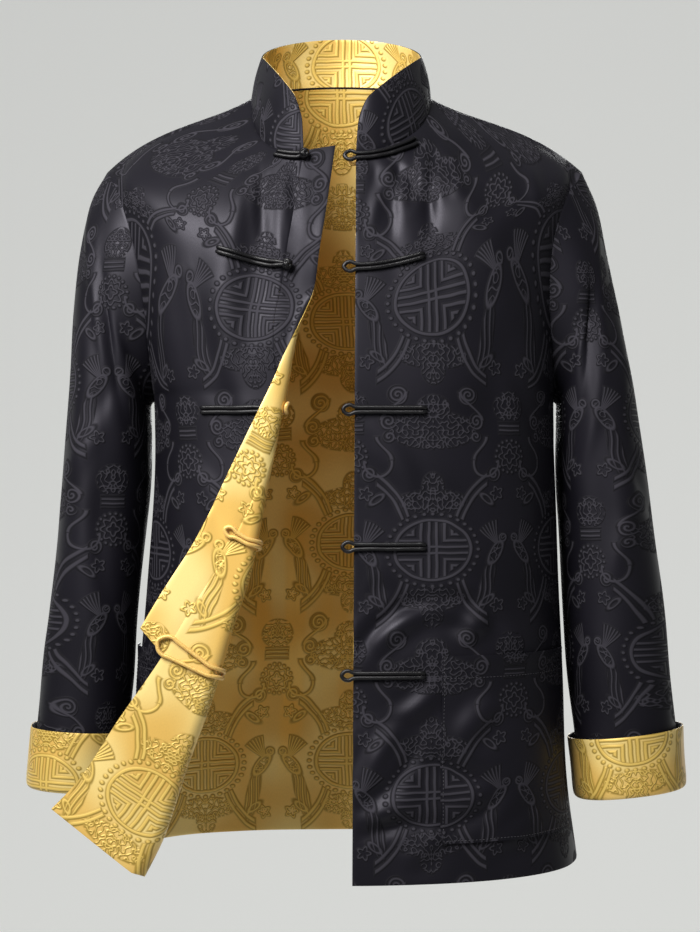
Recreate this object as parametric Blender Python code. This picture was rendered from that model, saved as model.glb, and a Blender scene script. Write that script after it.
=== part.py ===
"""A tang jacket filled out with no wearer: the wearer's right front hangs open, its lower part turned back.

Metres, +Z up, +X to the wearer's left, the fronts facing -Y. The origin is on the neck's axis, level with
the sides of the neck hole, where the wearer's neck and shoulders carry the jacket.
"""

import math

import bmesh
import bpy
import numpy as np

MM = 0.001

# Cloth and seams, in millimetres like every size below
WALL = 2.2  # two layers of satin, bagged out as one wall
SEAM = 0.4  # gap that stands for a seam
LAP = 1.5  # how far a sleeve head laps over the edge of the armhole

# Heights of the body, measured down from the side of the neck
HEM_FRONT, HEM_SIDE, HEM_BACK = -726.0, -718.0, -716.0
NECK_FRONT, NECK_SIDE, NECK_BACK = -56.0, 2.0, 26.0
ARMPIT, SHOULDER_TIP = -280.0, -67.0
ARMHOLE_DEPTH = {"front": 62.0, "back": 58.0}
NECK_X = {"right": -94.0, "left": 77.0}
NECK_DEPTH = {"front": 84.0, "back": 72.0}
UPPER_CHEST, UPPER_BACK = -136.0, -112.0  # height of the row that ends at the tip of the shoulder
BOXINESS = 2.7  # exponent of the body's plan

# The body's plan at each height: reach to the wearer's right and left, and depth before and behind
BODY = np.array(
    [
        # height, right, left, front, back
        (-730.0, -209.0, 216.5, 150.0, 136.0),
        (-659.0, -204.5, 207.0, 148.0, 132.0),
        (-556.0, -201.0, 202.0, 144.0, 126.0),
        (-463.0, -193.0, 198.0, 142.0, 122.0),
        (-316.0, -185.5, 193.5, 138.0, 117.0),
        (-280.0, -187.0, 193.5, 137.0, 116.0),
        (-220.0, -199.0, 196.0, 132.0, 114.0),
        (-160.0, -212.0, 201.0, 123.0, 110.0),
        (-113.0, -222.0, 208.0, 112.0, 102.0),
        (-67.0, -232.0, 222.0, 96.0, 90.0),
    ]
)

# The left front meets the centre line here, at the neck and at the hem
CENTRE_X_TOP, CENTRE_X_HEM = 5.5, 2.0

# The right front: where its turned edge stands farthest forward. "cloth" is the height on the cloth's own
# centre front, x, y and z are the place, "arrive" is the way the cloth comes to the turn (0 across the
# body, 90 straight forward), "rise" is how the turned flap slants up, and "bend" is the turn's radius.
TURN = np.array(
    [
        # cloth, x, y, z, arrive, rise, bend
        (-726.0, -184.0, -186.0, -713.0, 88.0, 38.0, 10.0),
        (-690.0, -167.0, -184.0, -681.0, 84.0, 35.0, 9.8),
        (-620.0, -143.0, -180.0, -612.0, 72.0, 32.0, 9.4),
        (-548.0, -120.0, -176.0, -546.0, 55.0, 31.0, 9.0),
        (-496.0, -105.0, -173.0, -495.0, 42.0, 30.0, 8.6),
        (-449.0, -90.0, -170.0, -449.0, 30.0, 30.0, 8.4),
        (-362.0, -72.5, -163.0, -362.0, 10.0, 30.0, 8.0),
        (-292.0, -59.0, -156.0, -292.0, 0.0, 30.0, 7.4),
        (-211.0, -40.8, -144.0, -210.0, 0.0, 30.0, 5.5),
        (-187.0, -29.0, -137.0, -187.0, 0.0, 30.0, 5.0),
        (-142.0, -10.7, -129.0, -142.0, 0.0, 30.0, 4.5),
        (-105.0, 5.9, -116.0, -105.0, 0.0, 30.0, 4.5),
        (-56.0, 21.0, -93.0, -56.0, 0.0, 30.0, 4.5),
    ]
)
TURN_SLOPE, TURN_AT_SEAM = 0.266, -324.0  # the fold crosses the centre-front seam at this height
TURN_CLEAR = 6.0  # the turn's columns keep this far from the seam
TURN_POINTS, BASE_SWING, BASE_PUSH = 16, 1.9, 1.1  # how strongly the cloth swings and runs into the turn
FLAP_REACH, FLAP_POINTS = 230.0, 30
FLAP_BACK, FLAP_SAG = 0.03, 14.0  # the flap leans back by this share, and bends back at its far end
NECK_OPEN_X = -43.0  # the right front's centre-front seam at the neck

UNDERLAP_WIDTH = 30.0
UNDERLAP_END, UNDERLAP_TIP = -546.0, -536.0  # lower end at the seam and at the free edge
UNDERLAP_WAY = (0.985, 0.03, 0.17)  # the way it runs on from the front at the neck
SHORTEST_ROW = 6.0

COLLAR_HEIGHT_BACK, COLLAR_ROUND = 47.0, 19.0
COLLAR_TOP = {"right": (-84.0, -45.0), "left": (68.0, 9.0)}  # x at the side and at the front end
COLLAR_TOP_SIDE, COLLAR_TOP_FRONT, COLLAR_TOP_DEPTH = 44.0, -11.0, 74.0
COLLAR_BOW = 0.9  # the front of its top edge is a little fuller than an ellipse
COLLAR_ROWS = (0.0, 0.33, 0.67, 1.0)
COLLAR_FRONT_COLUMNS = np.concatenate([[0, 0.03, 0.07, 0.12, 0.19], np.linspace(0.28, 1, 8)])
COLLAR_BACK_COLUMNS = np.linspace(0, 1, 8)
NEAR_NECK = 0.97  # a row of the panels close under the neck's edge

# The main folds, from one end to the other as seen from the front (or from behind), with the half width
# of each and how far it stands out, troughs below 0. They fade out before the seams.
LEFT_FOLDS = (
    # x, z, x, z, width, depth
    (18.0, 0.0, 46.0, -190.0, 13.0, -4.0),
    (52.0, 0.0, 88.0, -200.0, 14.0, -5.0),
    (98.0, -70.0, 150.0, -210.0, 18.0, 5.0),
    (150.0, -215.0, 120.0, -330.0, 20.0, -5.0),
    (20.0, -452.0, 120.0, -512.0, 14.0, -5.0),
    (80.0, -400.0, 165.0, -462.0, 16.0, 4.0),
    (14.0, -575.0, 70.0, -690.0, 18.0, 4.5),
)
RIGHT_FOLDS = (
    (-78.0, -80.0, -92.0, -260.0, 13.0, -6.0),
    (-112.0, -90.0, -118.0, -280.0, 16.0, 5.0),
    (-150.0, -170.0, -110.0, -360.0, 20.0, -5.0),
    (-160.0, -330.0, -120.0, -500.0, 20.0, 5.0),
)
BACK_FOLDS = (
    (-150.0, -150.0, -60.0, -60.0, 22.0, 5.0),
    (135.0, -150.0, 45.0, -60.0, 22.0, 5.0),
    (-165.0, -250.0, -120.0, -560.0, 26.0, -6.0),
    (150.0, -240.0, 118.0, -540.0, 26.0, -6.0),
    (-30.0, -330.0, -50.0, -690.0, 30.0, 5.0),
    (40.0, -300.0, 60.0, -690.0, 30.0, -5.0),
)

# Sleeves, a row for each ring: the outer and inner edge, the half depth and how far forward it hangs
SLEEVE = {
    "right": np.array(
        [
            # outer x, outer z, inner x, inner z, half depth, forward
            (-247.0, -100.0, -192.0, -289.0, 65.0, 0.0),
            (-255.0, -148.0, -192.5, -297.0, 69.0, 0.0),
            (-260.5, -204.0, -192.0, -312.0, 71.0, 1.0),
            (-265.0, -260.0, -191.5, -338.0, 71.0, 2.0),
            (-270.0, -315.0, -192.0, -368.0, 70.0, 4.0),
            (-274.5, -370.0, -195.0, -403.0, 68.0, 6.0),
            (-279.0, -425.0, -199.0, -446.0, 65.0, 9.0),
            (-285.0, -485.0, -203.5, -496.0, 61.0, 12.0),
            (-291.0, -545.0, -207.5, -551.0, 57.0, 15.0),
            (-297.0, -595.0, -213.5, -598.0, 54.0, 17.0),
            (-300.5, -641.0, -217.0, -645.0, 52.0, 18.0),
        ]
    ),
    "left": np.array(
        [
            # outer x, outer z, inner x, inner z, half depth, forward
            (234.0, -103.0, 199.5, -289.0, 65.0, 0.0),
            (242.0, -150.0, 200.0, -297.0, 69.0, 0.0),
            (253.0, -204.0, 200.0, -312.0, 71.0, 1.0),
            (267.0, -260.0, 199.5, -338.0, 71.0, 2.0),
            (275.5, -315.0, 199.5, -368.0, 70.0, 4.0),
            (283.5, -370.0, 201.0, -403.0, 68.0, 6.0),
            (291.0, -425.0, 203.0, -446.0, 65.0, 9.0),
            (298.0, -485.0, 206.0, -496.0, 61.0, 12.0),
            (303.0, -545.0, 209.0, -551.0, 57.0, 15.0),
            (308.5, -595.0, 215.0, -604.0, 54.0, 17.0),
            (312.5, -641.0, 219.0, -652.0, 52.0, 18.0),
        ]
    ),
}
SLEEVE_ROUNDNESS = 2.3
SLEEVE_FOLDS = (
    # turn (0 outside, 90 in front), rings from the head, change of turn with each ring, width, depth
    (60.0, 2.0, 16.0, 26.0, -6.0),
    (15.0, 2.5, 14.0, 24.0, 4.0),
    (120.0, 5.0, -12.0, 26.0, -5.0),
    (75.0, 6.5, 12.0, 24.0, 4.0),
    (250.0, 4.0, 14.0, 28.0, -5.0),
    (300.0, 6.0, -12.0, 26.0, 4.0),
)
CUFF = (
    # outward from the sleeve, down past its end: the inner leg, the round turn, then up the outside
    (0.0, SEAM),
    (0.0, 5.0),
    (1.8, 9.0),
    (4.4, 8.6),
    (5.6, 4.5),
    (6.0, -8.0),
    (6.4, -28.0),
    (6.8, -47.0),
)

POCKET_TOP, POCKET_BOTTOM = -521.0, -690.0
POCKET_NEAR, POCKET_FAR = 80.0, 230.0  # along the cloth from the centre front
POCKET_WALL, POCKET_GAP = 1.2, {"left": 0.7, "right": 1.4}

FROGS = (
    # height, how far back the black knot and the gold knot sit, how wide open the gold loop lies, points
    # along the run on the right front and its gap to the cloth. The last three there cross the turned edge,
    # and the third one's knot lies inside it
    (-62.0, 0.0, 0.0, 1.0, 7, 0.9),
    (-167.0, 0.0, 9.0, 1.0, 8, 1.2),
    (-297.0, 12.0, 9.0, 1.0, 10, 0.8),
    (-421.0, 0.0, 5.0, 1.0, 10, 1.2),
    (-537.0, 0.0, 9.0, 4.2, 10, 1.0),
)
LEFT_RUN = (8, 0.7)  # on the flat left front: points along a frog's run, and its gap to the cloth
FROG_LENGTH, FROG_REACH, RUN_START = 62.0, 9.0, 5.0
CORD_RADIUS, CORD_SPACING = 1.6, 2.05
LOOP_TIP = 1.5  # how far the loop's round end passes its straight reach
LOOP_END = (
    # along the cloth, and how far each cord stands from the middle in shares of their spacing
    (0.0, 1.25),
    (-4.5, 2.1),
    (-8.5, 1.5),
)
BAND_HALF, KNOT_RADIUS = 3.6, 4.4
KNOT_END = (
    # along the cloth, and half the width and height where the two cords turn into the ball
    (2.5, 3.1, 2.6),
    (0.6, KNOT_RADIUS, 3.9),
    (-2.0, KNOT_RADIUS + 0.3, KNOT_RADIUS),
    (-4.6, KNOT_RADIUS - 0.3, 3.9),
    (-6.6, 2.2, 2.2),
)

BLACK, GOLD = (0.012, 0.011, 0.016), (0.72, 0.45, 0.14)
SATIN_ROUGHNESS = 0.42
SHARP_ANGLE = math.radians(50)


def smooth_rows(table, at):
    """Every column of a table at the heights `at`, on smooth curves through its rows."""
    key, at = table[:, 0], np.clip(at, table[0, 0], table[-1, 0])
    slopes = np.gradient(table, key, axis=0)
    low = np.clip(np.searchsorted(key, at, "right") - 1, 0, len(key) - 2)
    step = key[low + 1] - key[low]
    t = ((at - key[low]) / step)[..., None]
    step = step[..., None]
    a, b, da, db = table[low], table[low + 1], slopes[low] * step, slopes[low + 1] * step
    return (
        a * (1 + 2 * t) * (1 - t) ** 2
        + da * t * (1 - t) ** 2
        + b * t * t * (3 - 2 * t)
        + db * t * t * (t - 1)
    )


def ease(x):
    x = np.clip(x, 0.0, 1.0)
    return x * x * (3 - 2 * x)


def mix(a, b, t):
    return a + (b - a) * t


def body_plan(height, side, face):
    """Half width and depth of the body's plan on one side and face, and its middle."""
    row = smooth_rows(BODY, np.asarray(height, float))
    middle = (row[..., 1] + row[..., 2]) / 2
    half = (row[..., 2] - row[..., 1]) / 2
    return middle, half, row[..., 3] if face == "front" else row[..., 4]


def body_angle(x, height, side, face):
    """The angle round the plan, 0 at the side seam, at which the body has this distance from its middle."""
    middle, half, _ = body_plan(height, side, face)
    out = np.clip((x - middle) * (1 if side == "left" else -1) / half, -1, 1)
    return np.arctan2((1 - np.abs(out) ** BOXINESS) ** (1 / BOXINESS), out)


def body_point(angle, height, side, face):
    middle, half, depth = body_plan(height, side, face)
    c, s = np.cos(angle), np.sin(angle)
    reach = (np.abs(c) ** BOXINESS + np.abs(s) ** BOXINESS) ** (-1 / BOXINESS)
    x = middle + (1 if side == "left" else -1) * half * reach * c
    y = (-1 if face == "front" else 1) * depth * reach * s
    return np.stack([x, y, height + 0 * x], -1)


# Rows of a panel run from v = 0 at the hem to 1 at the neck. The outer edge passes the armpit at V_ARMPIT
# and the tip of the shoulder at V_TIP, where the yoke begins.
V_ARMPIT, V_TIP = 0.666, 0.88
YOKE_STEP, YOKE_SOFT = 0.01, 0.8
SHOULDER_ROUND = 10.0  # how far the shoulder line rises above a straight line, towards its tip
PEAK = 6.75  # t * (1 - t) ** 2 times this reaches 1
DENSE = 60  # points along a dense row


def outer_edge(v, side, face):
    """Side seam up to the armpit, then round the armhole to the tip of the shoulder: angle and height."""
    low = v < V_ARMPIT
    t = np.clip((v - V_ARMPIT) / (V_TIP - V_ARMPIT), 0, 1) * math.pi
    height = np.where(
        low,
        mix(HEM_SIDE, ARMPIT, v / V_ARMPIT),
        mix(SHOULDER_TIP, ARMPIT, (1 + np.cos(t)) / 2),
    )
    _, _, depth = body_plan(height, side, face)
    forward = np.clip(ARMHOLE_DEPTH[face] * np.sin(t) / depth, 0, 0.99)
    angle = np.arctan2(forward, (1 - forward**BOXINESS) ** (1 / BOXINESS))
    return np.where(low, 0.0, angle), height


def inner_height(v, face):
    """Height of a row at the centre front or back."""
    hem, top = (HEM_FRONT, UPPER_CHEST) if face == "front" else (HEM_BACK, UPPER_BACK)
    return mix(hem, top, v / V_TIP)


def neckline(t, side, face):
    """The neck's edge, t = 0 at the centre and 1 at the side of the neck."""
    turn = t * math.pi / 2
    sine, cosine = np.sin(turn), np.cos(turn)
    if face == "back":
        middle = (NECK_X["left"] + NECK_X["right"]) / 2
        x = mix(middle, NECK_X[side], sine)
        return np.stack(
            [x, NECK_DEPTH["back"] * cosine, mix(NECK_SIDE, NECK_BACK, cosine)], -1
        )
    start, drop = (NECK_OPEN_X, 1.4) if side == "right" else (CENTRE_X_TOP, 1.0)
    rise = (1 - cosine) ** drop
    x = mix(start, NECK_X[side], sine)
    return np.stack(
        [x, -NECK_DEPTH["front"] * cosine, mix(NECK_FRONT, NECK_SIDE, rise)], -1
    )


def yoke(row, below, top, v, share):
    """From the row at the shoulder's tip the cloth bends over smoothly and runs on to the neck's edge."""
    t = (v - V_TIP) / (1 - V_TIP)
    share = share[:, None] ** 3
    away = (row - below) / YOKE_STEP * (1 - V_TIP) - (top - row)
    round_over = np.array([0, 0, SHOULDER_ROUND]) * PEAK * share
    return mix(row, top, t) + (YOKE_SOFT * away * (1 - share) + round_over) * t * (1 - t) ** 2


def crumple(row, share, folds, forward):
    """Moves a row's points fore and aft by the folds that they lie on; none at the seams at its ends."""
    out = np.zeros(len(row))
    for x0, z0, x1, z1, width, depth in folds:
        way = np.array([x1 - x0, z1 - z0])
        place = row[:, [0, 2]] - (x0, z0)
        along = place @ way / (way @ way)
        beside = np.abs(place[:, 0] * way[1] - place[:, 1] * way[0]) / np.linalg.norm(way)
        taper = np.sin(np.clip(along, 0, 1) * math.pi) ** 0.7
        out += depth * taper * np.exp(-((beside / width) ** 2))
    row[:, 1] += forward * out * share
    return row


def half_row(v, side, face):
    """The left front, or a half of the back: dense points from the centre to the outer edge."""
    t = np.linspace(0, 1, DENSE)
    if v > V_TIP:
        row, below = (half_row(low, side, face) for low in (V_TIP, V_TIP - YOKE_STEP))
        return yoke(row, below, neckline(t, side, face), v, t)
    edge_angle, edge_height = outer_edge(np.array(v), side, face)
    height = mix(inner_height(v, face), edge_height, ease(t))
    if face == "front":
        centre = mix(CENTRE_X_HEM, CENTRE_X_TOP, (height - HEM_FRONT) / (NECK_FRONT - HEM_FRONT))
    else:
        centre = body_plan(height, side, face)[0]
    start = body_angle(centre, height, side, face)
    row = body_point(mix(start, edge_angle, t), height, side, face)
    folds = LEFT_FOLDS if face == "front" else BACK_FOLDS
    return crumple(row, 1 - t**4, folds, -1 if face == "front" else 1)


def right_row(v):
    """The right front: cloth distance from its centre-front seam (underlap below 0), and the points."""
    if v > V_TIP:
        from_seam, row = right_row(V_TIP)
        other, below = right_row(V_TIP - YOKE_STEP)
        share = np.clip(from_seam / from_seam[0], 0, 1)
        below = pick(below[::-1], other[::-1], np.where(from_seam > 0, share * other[0], from_seam))
        top = neckline(share, "right", "front")
        top = top + np.clip(-from_seam, 0, None)[:, None] * np.array(UNDERLAP_WAY)
        return from_seam, yoke(row, below, top, v, share)
    cloth = inner_height(v, "front")
    _, x, y, z, arrive, rise, bend = smooth_rows(TURN, np.array(cloth))
    arrive, rise = math.radians(max(arrive, 0)), math.radians(rise)
    fold = TURN_SLOPE * (TURN_AT_SEAM - cloth)
    edge_angle, edge_height = outer_edge(np.array(v), "right", "front")
    start = body_point(edge_angle, edge_height, "right", "front")
    ahead = body_point(edge_angle + 0.02, edge_height, "right", "front") - start
    ahead /= np.linalg.norm(ahead)
    centre = np.array([x - bend, y + bend, z])
    end = centre + bend * np.array([math.sin(arrive), math.cos(arrive), 0])
    swung = arrive / (math.pi / 2)
    wide, deep = abs(end[0] - start[0]), abs(end[1] - start[1])
    across = wide * mix(BASE_SWING, 0, swung) + deep * BASE_PUSH * swung
    forward = deep * mix(BASE_SWING, BASE_PUSH, swung)
    leave = np.array([math.cos(arrive), -math.sin(arrive), 0]) * across
    t = np.linspace(0, 1, DENSE)[:, None]
    base = (
        start * (1 + 2 * t) * (1 - t) ** 2
        + ahead * forward * t * (1 - t) ** 2
        + end * t * t * (3 - 2 * t)
        + leave * t * t * (t - 1)
    )
    base = crumple(base, ((1 - (1 - t) ** 4) * (1 - t**6))[:, 0], RIGHT_FOLDS, -1)
    # Round the turn, the cloth starts to climb; then the flap runs on flat
    turn = np.linspace(arrive, math.pi, TURN_POINTS)[1:]
    climb = np.sin(rise) * bend * (turn - arrive) * 0.5
    bent = centre + np.stack([bend * np.sin(turn), bend * np.cos(turn), climb], -1)
    far = np.linspace(0, FLAP_REACH, FLAP_POINTS)[1:, None]
    flap = bent[-1] + far * np.array([-math.cos(rise), FLAP_BACK, math.sin(rise)])
    flap[:, 1] += (far[:, 0] / FLAP_REACH) ** 2 * FLAP_SAG
    points = np.concatenate([base, bent, flap])
    along = along_cloth(points)
    crest = along[DENSE - 1] + bend * max(math.pi / 2 - arrive, 0)
    return fold + crest - along, points


def along_cloth(points):
    steps = np.linalg.norm(np.diff(points, axis=0), axis=1)
    return np.concatenate([[0], np.cumsum(steps)])


def pick(points, key, at):
    """Points of a dense row where its growing key takes the values `at`."""
    return np.stack([np.interp(at, key, points[:, i]) for i in range(3)], -1)


def front_row_at(z):
    """The row of a front whose height at the centre is z."""
    if z < UPPER_CHEST:
        return (z - HEM_FRONT) / (UPPER_CHEST - HEM_FRONT) * V_TIP
    return mix(V_TIP, 1.0, (z - UPPER_CHEST) / (NECK_FRONT - UPPER_CHEST))


def left_cloth(u, z):
    """Middle of the left front's cloth, u along it from the centre front or straight past it, at height z."""
    row = half_row(front_row_at(z), "left", "front")
    if u < 0:
        ahead = row[0] - row[1]
        return row[0] - u * ahead / np.linalg.norm(ahead)
    return pick(row, along_cloth(row), np.array([u]))[0]


def right_cloth(u, z):
    from_seam, points = right_row(front_row_at(z))
    return pick(points[::-1], from_seam[::-1], np.array([u]))[0]


def cloth_normal(cloth, u, z, outward):
    """Unit normal of the cloth at a point, turned to the jacket's outer (black) face."""
    e = 1.0
    across = cloth(u + e, z) - cloth(u - e, z)
    up = cloth(u, min(z + e, NECK_FRONT)) - cloth(u, z - e)
    normal = np.cross(across, up) * outward
    return normal / np.linalg.norm(normal)


def grid_normals(grid, ring=False):
    """Unit normals of a grid of points: across the rows, cross up the columns."""
    if ring:
        across = np.roll(grid, -1, 1) - np.roll(grid, 1, 1)
    else:
        across = np.gradient(grid, axis=1)
    normals = np.cross(across, np.gradient(grid, axis=0))
    return normals / np.linalg.norm(normals, axis=-1, keepdims=True)


def body_normal(angle, height, side, face):
    e = 1e-3
    across = body_point(angle + e, height, side, face) - body_point(angle - e, height, side, face)
    up = body_point(angle, height + 1, side, face) - body_point(angle, height - 1, side, face)
    normal = np.cross(up, across) * (1 if side == "left" else -1) * (1 if face == "front" else -1)
    return normal / np.linalg.norm(normal, axis=-1, keepdims=True)


def material(name, color):
    made = bpy.data.materials.new(name)
    made.use_nodes = True
    shader = made.node_tree.nodes["Principled BSDF"]
    shader.inputs["Base Color"].default_value = (*color, 1)
    shader.inputs["Roughness"].default_value = SATIN_ROUGHNESS
    shader.inputs["Metallic"].default_value = 0.0
    return made


def add_object(name, points, faces, color):
    mesh = bpy.data.meshes.new(name)
    mesh.from_pydata((np.asarray(points) * MM).tolist(), [], faces)
    shape = bmesh.new()
    shape.from_mesh(mesh)
    bmesh.ops.remove_doubles(shape, verts=shape.verts, dist=1e-6)
    bmesh.ops.recalc_face_normals(shape, faces=shape.faces)
    if shape.calc_volume(signed=True) < 0:
        bmesh.ops.reverse_faces(shape, faces=shape.faces)
    shape.to_mesh(mesh)
    shape.free()
    mesh.shade_smooth()
    mesh.set_sharp_from_angle(angle=SHARP_ANGLE)
    mesh.materials.append(material(name, color))
    bpy.context.collection.objects.link(bpy.data.objects.new(name, mesh))


def add_wall(name, grid, normals, color, thickness=WALL, ring=False):
    """A closed wall on a grid of points, half its thickness to each side."""
    rows, columns = grid.shape[:2]
    outer = (grid + normals * thickness / 2).reshape(-1, 3)
    inner = (grid - normals * thickness / 2).reshape(-1, 3)
    count = rows * columns
    last = columns if ring else columns - 1

    def at(i, j):
        return i * columns + j % columns

    faces = []
    for i in range(rows - 1):
        for j in range(last):
            quad = (at(i, j), at(i, j + 1), at(i + 1, j + 1), at(i + 1, j))
            faces.append(quad)
            faces.append(tuple(count + k for k in reversed(quad)))
    for i in (0, rows - 1):
        for j in range(last):
            faces.append((at(i, j), at(i, j + 1), count + at(i, j + 1), count + at(i, j)))
    if not ring:
        for j in (0, columns - 1):
            for i in range(rows - 1):
                faces.append((at(i, j), at(i + 1, j), count + at(i + 1, j), count + at(i, j)))
    add_object(name, np.concatenate([outer, inner]), faces, color)


def add_tube(name, path, radii, color, sides=6):
    """A closed tube: radii holds a (half width, half height) and a width direction for each point."""
    points, faces = [], []
    for centre, (wide, tall), width_way, height_way in path_frames(path, radii):
        for k in range(sides):
            a = 2 * math.pi * (k + 0.5) / sides
            points.append(centre + width_way * wide * math.cos(a) + height_way * tall * math.sin(a))
    rings = len(path)
    for i in range(rings - 1):
        for k in range(sides):
            a, b = i * sides + k, i * sides + (k + 1) % sides
            faces.append((a, b, b + sides, a + sides))
    faces.append(tuple(range(sides)))
    faces.append(tuple((rings - 1) * sides + k for k in range(sides)))
    add_object(name, points, faces, color)


def path_frames(path, radii):
    """Each path point is (place, cloth normal); its width way lies across the path, in the cloth."""
    places = np.array([p for p, _ in path])
    ahead = np.gradient(places, axis=0)
    for i, (place, normal) in enumerate(path):
        forward = ahead[i] / np.linalg.norm(ahead[i])
        width_way = np.cross(normal, forward)
        width_way /= np.linalg.norm(width_way)
        yield place, radii[i], width_way, np.cross(forward, width_way)


# Rows crowd round the armhole, and columns near the side seam and round the turned edge
ROW_STEPS = np.concatenate(
    [
        np.linspace(0, V_ARMPIT, 15)[:-1],
        np.linspace(V_ARMPIT, V_TIP, 9)[:-1],
        np.linspace(V_TIP, 1, 5),
    ]
)
LEFT_COLUMNS = np.concatenate([np.linspace(0, 0.8, 12)[:-1], np.linspace(0.8, 1, 4)])
BACK_COLUMNS = np.concatenate([np.linspace(0, 0.8, 8)[:-1], np.linspace(0.8, 1, 5)])


def shoulder_gap(grid, face):
    """Opens the seam along the outer edge, where y is 0, by half a seam to each panel."""
    grid[:, -1, 1] += -SEAM / 2 if face == "front" else SEAM / 2


def edge_normals(side, face):
    """Normals at a panel's outer edge, shared by the panels that meet there."""
    angle, height = outer_edge(np.minimum(ROW_STEPS, V_TIP), side, face)
    return body_normal(angle, height, side, face)


def make_left_front():
    grid = []
    for v in ROW_STEPS:
        row = half_row(v, "left", "front")
        key = along_cloth(row)
        grid.append(pick(row, key, LEFT_COLUMNS * key[-1]))
    grid = np.array(grid)
    shoulder_gap(grid, "front")
    normals = seam_normals(grid, "left", "front", -1)
    add_wall("front_left", grid, normals, BLACK)


def seam_normals(grid, side, face, column):
    normals = grid_normals(grid)
    shared = edge_normals(side, face)
    if (normals[3, column] * shared[3]).sum() < 0:
        normals = -normals
    low = ROW_STEPS <= V_TIP
    normals[low, column] = shared[low]
    # Along the yoke the seam's normal stands square to the shoulder line, with nothing fore and aft
    square = np.cross(np.gradient(grid[:, column], axis=0), [0, 1, 0])
    square *= np.sign(square[:, 2:]) / np.linalg.norm(square, axis=1, keepdims=True)
    normals[~low, column] = square[~low]
    return normals


def turn_columns(height):
    """Cloth distances that follow the turned edge round its bend."""
    bend = smooth_rows(TURN, np.array(height))[6]
    return TURN_SLOPE * (TURN_AT_SEAM - height) + np.linspace(-1.6, 1.6, 8) * bend


def make_right_front():
    """Two pieces on one row of cloth: the underlap, and the panel from the centre-front seam to the side."""
    grid = []
    strip = np.linspace(-UNDERLAP_WIDTH, -SEAM / 2, 7)
    for v in ROW_STEPS:
        from_seam, points = right_row(v)
        turn = turn_columns(inner_height(min(v, V_TIP), "front"))
        turn += max(0, TURN_CLEAR - turn[0])
        flap = mix(SEAM / 2, turn[0], np.linspace(0, 1, 5)[:-1])
        base = mix(turn[-1], from_seam[0], np.linspace(0, 1, 12)[1:])
        columns = np.concatenate([strip, flap, turn, base])
        grid.append(pick(points[::-1], from_seam[::-1], columns))
    grid = np.array(grid)
    shoulder_gap(grid, "front")
    normals = seam_normals(grid, "right", "front", -1)
    split = len(strip)
    shared = normals[:, split - 1] + normals[:, split]
    shared /= np.linalg.norm(shared, axis=-1, keepdims=True)
    normals[:, split - 1] = normals[:, split] = shared
    add_wall("front_right", grid[:, split:], normals[:, split:], BLACK)
    # The underlap ends on a slant, which is cut across the rows below its first whole one
    heights = inner_height(ROW_STEPS, "front")
    start = int(np.searchsorted(heights, UNDERLAP_TIP + SHORTEST_ROW))
    end = mix(UNDERLAP_TIP, UNDERLAP_END, np.linspace(0, 1, split))
    share = ((end - heights[start - 1]) / (heights[start] - heights[start - 1]))[:, None]
    lap, lap_normals = (
        np.concatenate([mix(a[start - 1, :split], a[start, :split], share)[None], a[start:, :split]])
        for a in (grid, normals)
    )
    add_wall("underlap", lap, lap_normals, BLACK)


def make_back():
    halves = []
    for side in ("right", "left"):
        rows = []
        for v in ROW_STEPS:
            row = half_row(v, side, "back")
            key = along_cloth(row)
            rows.append(pick(row, key, BACK_COLUMNS * key[-1]))
        halves.append(np.array(rows))
    grid = np.concatenate([halves[0][:, :0:-1], halves[1]], axis=1)
    grid[:, 0, 1] += SEAM / 2
    grid[:, -1, 1] += SEAM / 2
    normals = seam_normals(grid, "left", "back", -1)
    other = seam_normals(grid, "right", "back", 0)
    normals[:, 0] = other[:, 0]
    add_wall("back", grid, normals, BLACK)


def armhole(turn, side):
    """The armhole's edge and the body's normal there, turn = 0 at the shoulder and 90 degrees in front."""
    places, normals = [], []
    for a in turn:
        face = "front" if math.sin(a) >= 0 else "back"
        height = mix(ARMPIT, SHOULDER_TIP, (1 + math.cos(a)) / 2)
        _, _, depth = body_plan(height, side, face)
        forward = min(ARMHOLE_DEPTH[face] * abs(math.sin(a)) / float(depth), 0.99)
        angle = math.atan2(forward, (1 - forward**BOXINESS) ** (1 / BOXINESS))
        places.append(body_point(angle, height, side, face))
        normals.append(body_normal(angle, height, side, face))
    return np.array(places), np.array(normals)


def sleeve_folds(turn, ring):
    """How far the sleeve's ring stands out at each turn, from folds that run slanting down and round it."""
    out = np.zeros(len(turn))
    for at, middle, slant, width, depth in SLEEVE_FOLDS:
        centre = math.radians(at + slant * (ring - middle))
        off = np.degrees(np.abs(np.angle(np.exp(1j * (turn - centre)))))
        out += depth * np.exp(-((off / width) ** 2)) * math.exp(-(((ring - middle) / 2.0) ** 2))
    inner = np.clip(-np.cos(turn), 0, 1)  # flat against the body
    return out * (1 - inner)


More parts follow.
